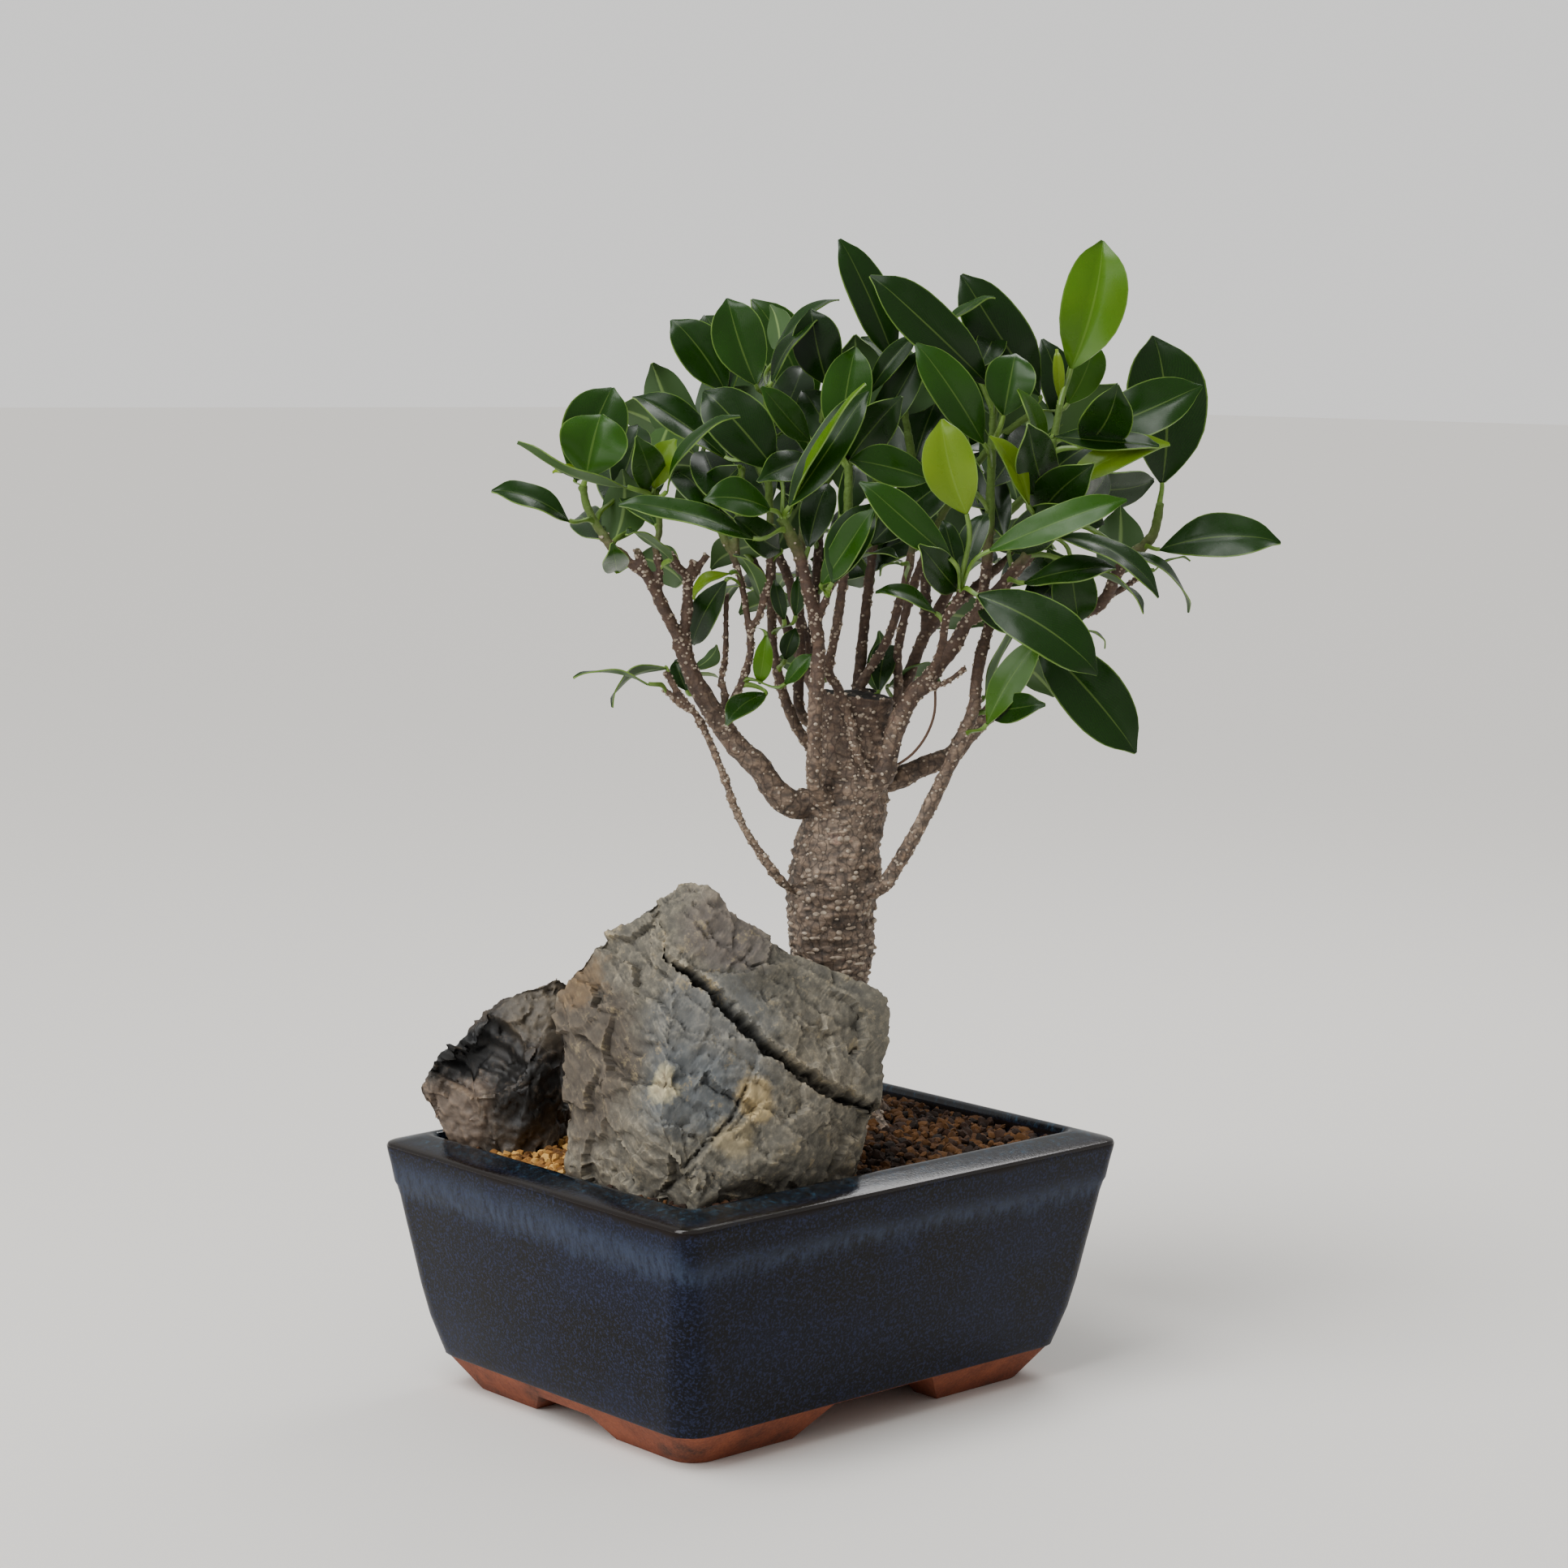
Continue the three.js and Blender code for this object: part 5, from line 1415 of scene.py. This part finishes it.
def grain_shapes(count, seed):
    """A few crumbly lumps to copy."""
    picker = random.Random(seed)
    corners, triangles = ball()
    shapes = []
    for _ in range(count):
        offset = Vector((picker.uniform(0, 50), picker.uniform(0, 50), picker.uniform(0, 50)))
        squash = Vector((picker.uniform(0.8, 1.2), picker.uniform(0.75, 1.1), picker.uniform(0.6, 0.95)))
        lump = []
        for spot in corners:
            size = 1 + 0.55 * noise.noise(spot * 1.4 + offset)
            lump.append([spot[k] * size * squash[k] for k in range(3)])
        shapes.append((np.array(lump), np.array(triangles)))
    return shapes


def scatter(name, spots, sizes, material, seed):
    """One piece of loose grains, each turned its own way."""
    picker = np.random.default_rng(seed)
    shapes = grain_shapes(8, seed)
    points, faces, shades = [], [], []
    base = 0
    for spot, size in zip(spots, sizes):
        corners, triangles = shapes[int(picker.integers(len(shapes)))]
        turn = Matrix.Rotation(picker.uniform(0, 6.3), 3, Vector(picker.normal(size=3)).normalized())
        placed = corners @ np.array(turn).T * (size / 2 * MM) + np.array(spot)
        points.append(placed)
        faces.append(triangles + base)
        shades.append(np.full(len(corners), picker.uniform(0, 1)))
        base += len(corners)
    piece = mesh_piece(name, np.concatenate(points), [tuple(f) for f in np.concatenate(faces).tolist()],
                       [material])
    set_attribute(piece, "shade", np.concatenate(shades))
    smooth(piece, 35)
    return piece


def rock_inside(x, y, rocks):
    """Whether a place on the soil is under a rock."""
    up = Vector((0, 0, 1))
    for surface in rocks:
        hit, normal, _, _ = surface.ray_cast(in_pot(x, y, 64), up)
        if hit is not None and normal.z > 0:
            return True
    return False


def inside_wall(z):
    up = (z - FLOOR_TOP) / (66 - FLOOR_TOP)
    return 57 + 9 * up - 0.5, 42 + 9 * up - 0.5


def in_gravel(x, y):
    """The pale patch between the rocks, by the left wall."""
    edge = 0.6 * math.sin(x * 0.9) + 0.8 * math.sin(y * 1.1)
    return x < -38 + edge and -6 < y < 33 + edge


def build_soil(settings):
    wall_x, wall_y = inside_wall(SOIL_EDGE_Z - 1)
    bed = block("soil_mass", (-wall_x, -wall_y, FLOOR_TOP + 2.5), (wall_x, wall_y, SOIL_EDGE_Z - 2.5))
    low_x, low_y = inside_wall(17)
    for vertex in bed.data.vertices:
        if vertex.co.z < in_pot(0, 0, 30).z:
            vertex.co.x = in_pot(math.copysign(low_x, vertex.co.x - POT_MIDDLE.x), 0, 0).x
            vertex.co.y = in_pot(0, math.copysign(low_y, vertex.co.y - POT_MIDDLE.y), 0).y
    apply_modifier(bed, "REMESH", mode="VOXEL", voxel_size=1.6 * MM)
    top = in_pot(0, 0, SOIL_EDGE_Z - 8).z
    for vertex in bed.data.vertices:
        if vertex.co.z > top:
            spot = (vertex.co - POT_MIDDLE) / MM
            share = (vertex.co.z - top) / (7 * MM)
            lift = soil_height(spot.x, spot.y) - SOIL_EDGE_Z - 0.6 + 0.7 * noise.noise(spot / 2.2)
            vertex.co.z += lift * MM * min(1.0, share)
    soil = baked_granules("soil_granules", "#150a02", "#341c08", "#5c3a15")
    bed.data.materials.append(soil)
    set_attribute(bed, "shade", [0.15] * len(bed.data.vertices))
    smooth(bed, 60)
    finish_piece(bed, "soil", "soil_bed")

    rocks = [surface_of(bpy.data.objects[name]) for name in ("rock_large", "rock_small")]
    picker = random.Random(3)
    spots, sizes, pale_spots, pale_sizes = [], [], [], []
    reach_x, reach_y = inside_wall(SOIL_EDGE_Z)
    step = settings.grain * 0.86
    columns, rows = int(2 * reach_x / step), int(2 * reach_y / step)
    for i in range(columns + 1):
        for j in range(rows + 1):
            x = -reach_x + 1 + (2 * reach_x - 2) * (i + picker.uniform(-0.45, 0.45)) / columns
            y = -reach_y + 1 + (2 * reach_y - 2) * (j + picker.uniform(-0.45, 0.45)) / rows
            x, y = max(-reach_x + 1.2, min(reach_x - 1.2, x)), max(-reach_y + 1.2, min(reach_y - 1.2, y))
            trunk_away = (in_pot(x, y, 0) - on_tree(-3.5, 0, 0)).length / MM
            if trunk_away < 13 or rock_inside(x, y, rocks):
                continue
            lift = picker.uniform(-0.4, 0.9)
            if in_gravel(x, y):
                pale_spots.append(in_pot(x, y, soil_height(x, y) + 0.8 + lift))
                pale_sizes.append(settings.grain * picker.uniform(0.85, 1.25))
            else:
                spots.append(in_pot(x, y, soil_height(x, y) + lift - 0.3))
                sizes.append(settings.grain * picker.uniform(0.7,
                                                             1.35) * (0.7 if picker.random() < 0.25 else 1))
    grains = scatter("soil_grains", spots, sizes, soil, 5)
    finish_piece(grains, "soil")
    # a second loose layer fills the pale patch
    for spot in list(pale_spots):
        pale_spots.append(spot + Vector((picker.uniform(-1.2, 1.2), picker.uniform(-1.2, 1.2), -1.3)) * MM)
        pale_sizes.append(settings.grain * picker.uniform(0.8, 1.2))
    pale = baked_granules("pale_granules", "#5c3a12", "#9c6c2e", tuple(settings.gravel))
    gravel = scatter("gravel_grains", pale_spots, pale_sizes, pale, 6)
    finish_piece(gravel, "gravel", "pale_gravel")
    build_fine_roots(soil_height)


def build_fine_roots(ground):
    """Thin dry rootlets: one hanging in the crown, the rest lying on the soil at the back right."""
    picker = random.Random(11)
    dry = plain("dry_root", "#5a4334", 0.85)
    hanging = rounded_way([(23, 181, 10), (23, 174, 10), (21, 168, 10), (17.5, 163, 9), (13, 159.5, 8)], 4)
    parts = [tube_along("root", [on_tree(*spot) for spot in hanging], 0.38 * MM, 8, dry)]
    for _ in range(34):
        x, y = picker.uniform(8, 62), picker.uniform(22, 48)
        heading = picker.uniform(0, 6.3)
        way = []
        for i in range(7):
            lift = 1.2 + 1.6 * math.sin(i * 0.9 + heading) * (0.4 + 0.6 * picker.random())
            way.append(in_pot(x, y, ground(x, y) + max(0.6, lift)))
            heading += picker.uniform(-0.8, 0.8)
            x = max(-60, min(63, x + 1.5 * math.cos(heading)))
            y = max(-46, min(48.5, y + 1.5 * math.sin(heading)))
        parts.append(tube_along("root", way, picker.uniform(0.12, 0.24) * MM, 6, dry))
    roots = join(parts, "fine_roots")
    smooth(roots, 180)
    return finish_piece(roots, "bark")


# ---------- stage ----------
# The camera: its direction, then its distance and where it looks in metres from the pot's middle.
VIEW_AZIMUTH = TURN
VIEW_ELEVATION = math.radians(7.2)
VIEW_DISTANCE = 0.86776
LOOK_HEIGHT = 0.15621
LOOK_RIGHT = 0.00667
VIEW_ROLL = math.radians(0.76)
LENS = 78.26
FLOOR_SIZE = 24  # in metres; its far edge shows as a faint horizon


def build_stage(settings):
    deselect()
    bpy.ops.mesh.primitive_plane_add(size=FLOOR_SIZE, location=(0, 0, 0))
    floor = bpy.context.object
    floor.name = "floor"
    material, _, shader, _ = new_material("pale_floor")
    fill(shader, {"Base Color": colour("#e9e6e1"), "Roughness": 0.7})
    floor.data.materials.append(material)

    world = bpy.data.worlds.new("studio")
    bpy.context.scene.world = world
    world.use_nodes = True
    node = partial(add_node, world.node_tree)
    # the camera sees the backdrop, and everything else is lit by the surroundings
    strength = node("MapRange", {"Value": node("LightPath", out="Is Camera Ray"), "To Min": settings.surround,
                                 "To Max": settings.backdrop})
    fill(world.node_tree.nodes["Background"], {"Color": colour("#f8f7f5"), "Strength": strength})

    back = Vector((math.sin(VIEW_AZIMUTH) * math.cos(VIEW_ELEVATION),
                   -math.cos(VIEW_AZIMUTH) * math.cos(VIEW_ELEVATION), math.sin(VIEW_ELEVATION)))
    right = (-back).cross(Vector((0, 0, 1))).normalized()
    up = right.cross(-back)
    rolled_right = right * math.cos(VIEW_ROLL) + up * math.sin(VIEW_ROLL)
    rolled_up = up * math.cos(VIEW_ROLL) - right * math.sin(VIEW_ROLL)
    data = bpy.data.cameras.new("camera")
    data.lens = LENS
    data.sensor_width = 36
    data.clip_start = 0.01
    camera = add_object("camera", data)
    place = POT_MIDDLE + Vector((0, 0, LOOK_HEIGHT)) + back * VIEW_DISTANCE + right * LOOK_RIGHT
    turn = Matrix((rolled_right, rolled_up, back)).transposed()
    camera.matrix_world = Matrix.Translation(place) @ turn.to_4x4()
    bpy.context.scene.camera = camera

    # soft light from overhead, a window at the upper left, and a lamp behind on the right
    for name, spot, kind, breadth, power in (
        ("overhead", (-0.35, 1.1, 0.3), "SUN", math.radians(35), settings.overhead),
        ("window", (-0.65, 0.55, 0.6), "AREA", 0.6, settings.window),
        ("lamp", (0.3, 0.8, -0.5), "AREA", 0.4, settings.window * 0.5),
    ):
        light = bpy.data.lights.new(name, kind)
        light.energy = power
        if kind == "SUN":
            light.angle = breadth
        else:
            light.size = breadth
        lamp = add_object(name, light)
        where = POT_MIDDLE + RIGHT * spot[0] + Vector((0, 0, spot[1])) - BACK * spot[2]
        aim = POT_MIDDLE + Vector((0, 0, 0.15)) - where
        lamp.matrix_world = Matrix.Translation(where) @ aim.to_track_quat("-Z", "Y").to_matrix().to_4x4()


# ---------- add-on ----------
def swatch(name, description, code):
    """A colour that a user may change."""
    return FloatVectorProperty(name=name, description=description, subtype="COLOR", size=4, min=0, max=1,
                               default=colour(code))


class PotSettings(bpy.types.PropertyGroup):
    """Colours of the pot."""
    band: swatch("Glaze band", "The pale band of glaze under the rim", "#343f54")
    clay: swatch("Bare clay", "The unglazed clay of the foot", "#8c4727")


class SoilSettings(bpy.types.PropertyGroup):
    """Sizes and colours of the soil."""
    gravel: swatch("Gravel", "The palest of the gravel", "#c79a4f")
    grain: FloatProperty(name="Grain size", description="Typical soil grain in millimetres", default=2.6,
                         min=1.5, max=5)


class LeafSettings(bpy.types.PropertyGroup):
    """Shape and colours of the leaves."""
    mature: swatch("Mature leaf", "Upper side of an old leaf", "#0a2202")
    young: swatch("Young leaf", "Upper side of a new leaf", "#647d12")
    fold: FloatProperty(name="Fold", description="How far a blade folds up along its midrib, in degrees",
                        default=13,
                        min=0, max=40)


class StageSettings(bpy.types.PropertyGroup):
    """The light."""
    surround: FloatProperty(name="Surround", description="Light from the surroundings", default=0.55, min=0,
                            max=5)
    backdrop: FloatProperty(name="Backdrop", description="Brightness of the backdrop", default=1.1, min=0,
                            max=5)
    overhead: FloatProperty(name="Overhead light", description="Strength of the light from above",
                            default=2.4, min=0,
                            max=20)
    window: FloatProperty(name="Window light", description="Power of the light from the window", default=5.0,
                          min=0,
                          max=100, unit="POWER")


class BONSAI_OT_pot(bpy.types.Operator):
    """Build the glazed pot with its bare clay feet"""
    bl_idname = "bonsai.pot"
    bl_label = "Pot"

    def execute(self, context):
        build_pot(context.scene.bonsai_pot)
        return {"FINISHED"}


class BONSAI_OT_drainage(bpy.types.Operator):
    """Build the netting over the drain holes and the staples that hold it"""
    bl_idname = "bonsai.drainage"
    bl_label = "Drainage"

    def execute(self, context):
        build_drainage()
        return {"FINISHED"}


class BONSAI_OT_rocks(bpy.types.Operator):
    """Build the split grey rock and the small dark one"""
    bl_idname = "bonsai.rocks"
    bl_label = "Rocks"

    def execute(self, context):
        build_large_rock()
        build_small_rock()
        return {"FINISHED"}


class BONSAI_OT_tree(bpy.types.Operator):
    """Build the trunk and branches with their lenticels"""
    bl_idname = "bonsai.tree"
    bl_label = "Tree"

    def execute(self, context):
        build_tree()
        return {"FINISHED"}


class BONSAI_OT_leaves(bpy.types.Operator):
    """Build the leaves with their stalks"""
    bl_idname = "bonsai.leaves"
    bl_label = "Leaves"

    def execute(self, context):
        build_leaves(context.scene.bonsai_leaf)
        return {"FINISHED"}


class BONSAI_OT_soil(bpy.types.Operator):
    """Build the soil, the pale gravel and the fine roots"""
    bl_idname = "bonsai.soil"
    bl_label = "Soil"

    def execute(self, context):
        build_soil(context.scene.bonsai_soil)
        return {"FINISHED"}


class BONSAI_OT_stage(bpy.types.Operator):
    """Set up the floor, the light and the camera"""
    bl_idname = "bonsai.stage"
    bl_label = "Stage"

    def execute(self, context):
        build_stage(context.scene.bonsai_stage)
        return {"FINISHED"}


OPERATORS = (BONSAI_OT_pot, BONSAI_OT_drainage, BONSAI_OT_rocks, BONSAI_OT_tree, BONSAI_OT_leaves,
             BONSAI_OT_soil,
             BONSAI_OT_stage)


class BONSAI_PT_panel(bpy.types.Panel):
    """The bonsai's pieces and settings"""
    bl_idname = "BONSAI_PT_panel"
    bl_label = "Bonsai"
    bl_space_type = "VIEW_3D"
    bl_region_type = "UI"
    bl_category = "Bonsai"

    def draw(self, context):
        for operator in OPERATORS:
            self.layout.operator(operator.bl_idname)
        for name, kind in SETTINGS.items():
            for prop in kind.__annotations__:
                self.layout.prop(getattr(context.scene, name), prop)


SETTINGS = {"bonsai_pot": PotSettings, "bonsai_leaf": LeafSettings, "bonsai_soil": SoilSettings,
            "bonsai_stage": StageSettings}
CLASSES = tuple(SETTINGS.values()) + OPERATORS + (BONSAI_PT_panel,)


def register():
    for entry in CLASSES:
        bpy.utils.register_class(entry)
    for name, kind in SETTINGS.items():
        setattr(bpy.types.Scene, name, PointerProperty(type=kind))


def unregister():
    for name in SETTINGS:
        delattr(bpy.types.Scene, name)
    for entry in reversed(CLASSES):
        bpy.utils.unregister_class(entry)


def main():
    register()
    bpy.ops.bonsai.stage()
    bpy.ops.bonsai.pot()
    bpy.ops.bonsai.drainage()
    bpy.ops.bonsai.rocks()
    bpy.ops.bonsai.tree()
    bpy.ops.bonsai.leaves()
    bpy.ops.bonsai.soil()


if __name__ == "__main__":
    main()
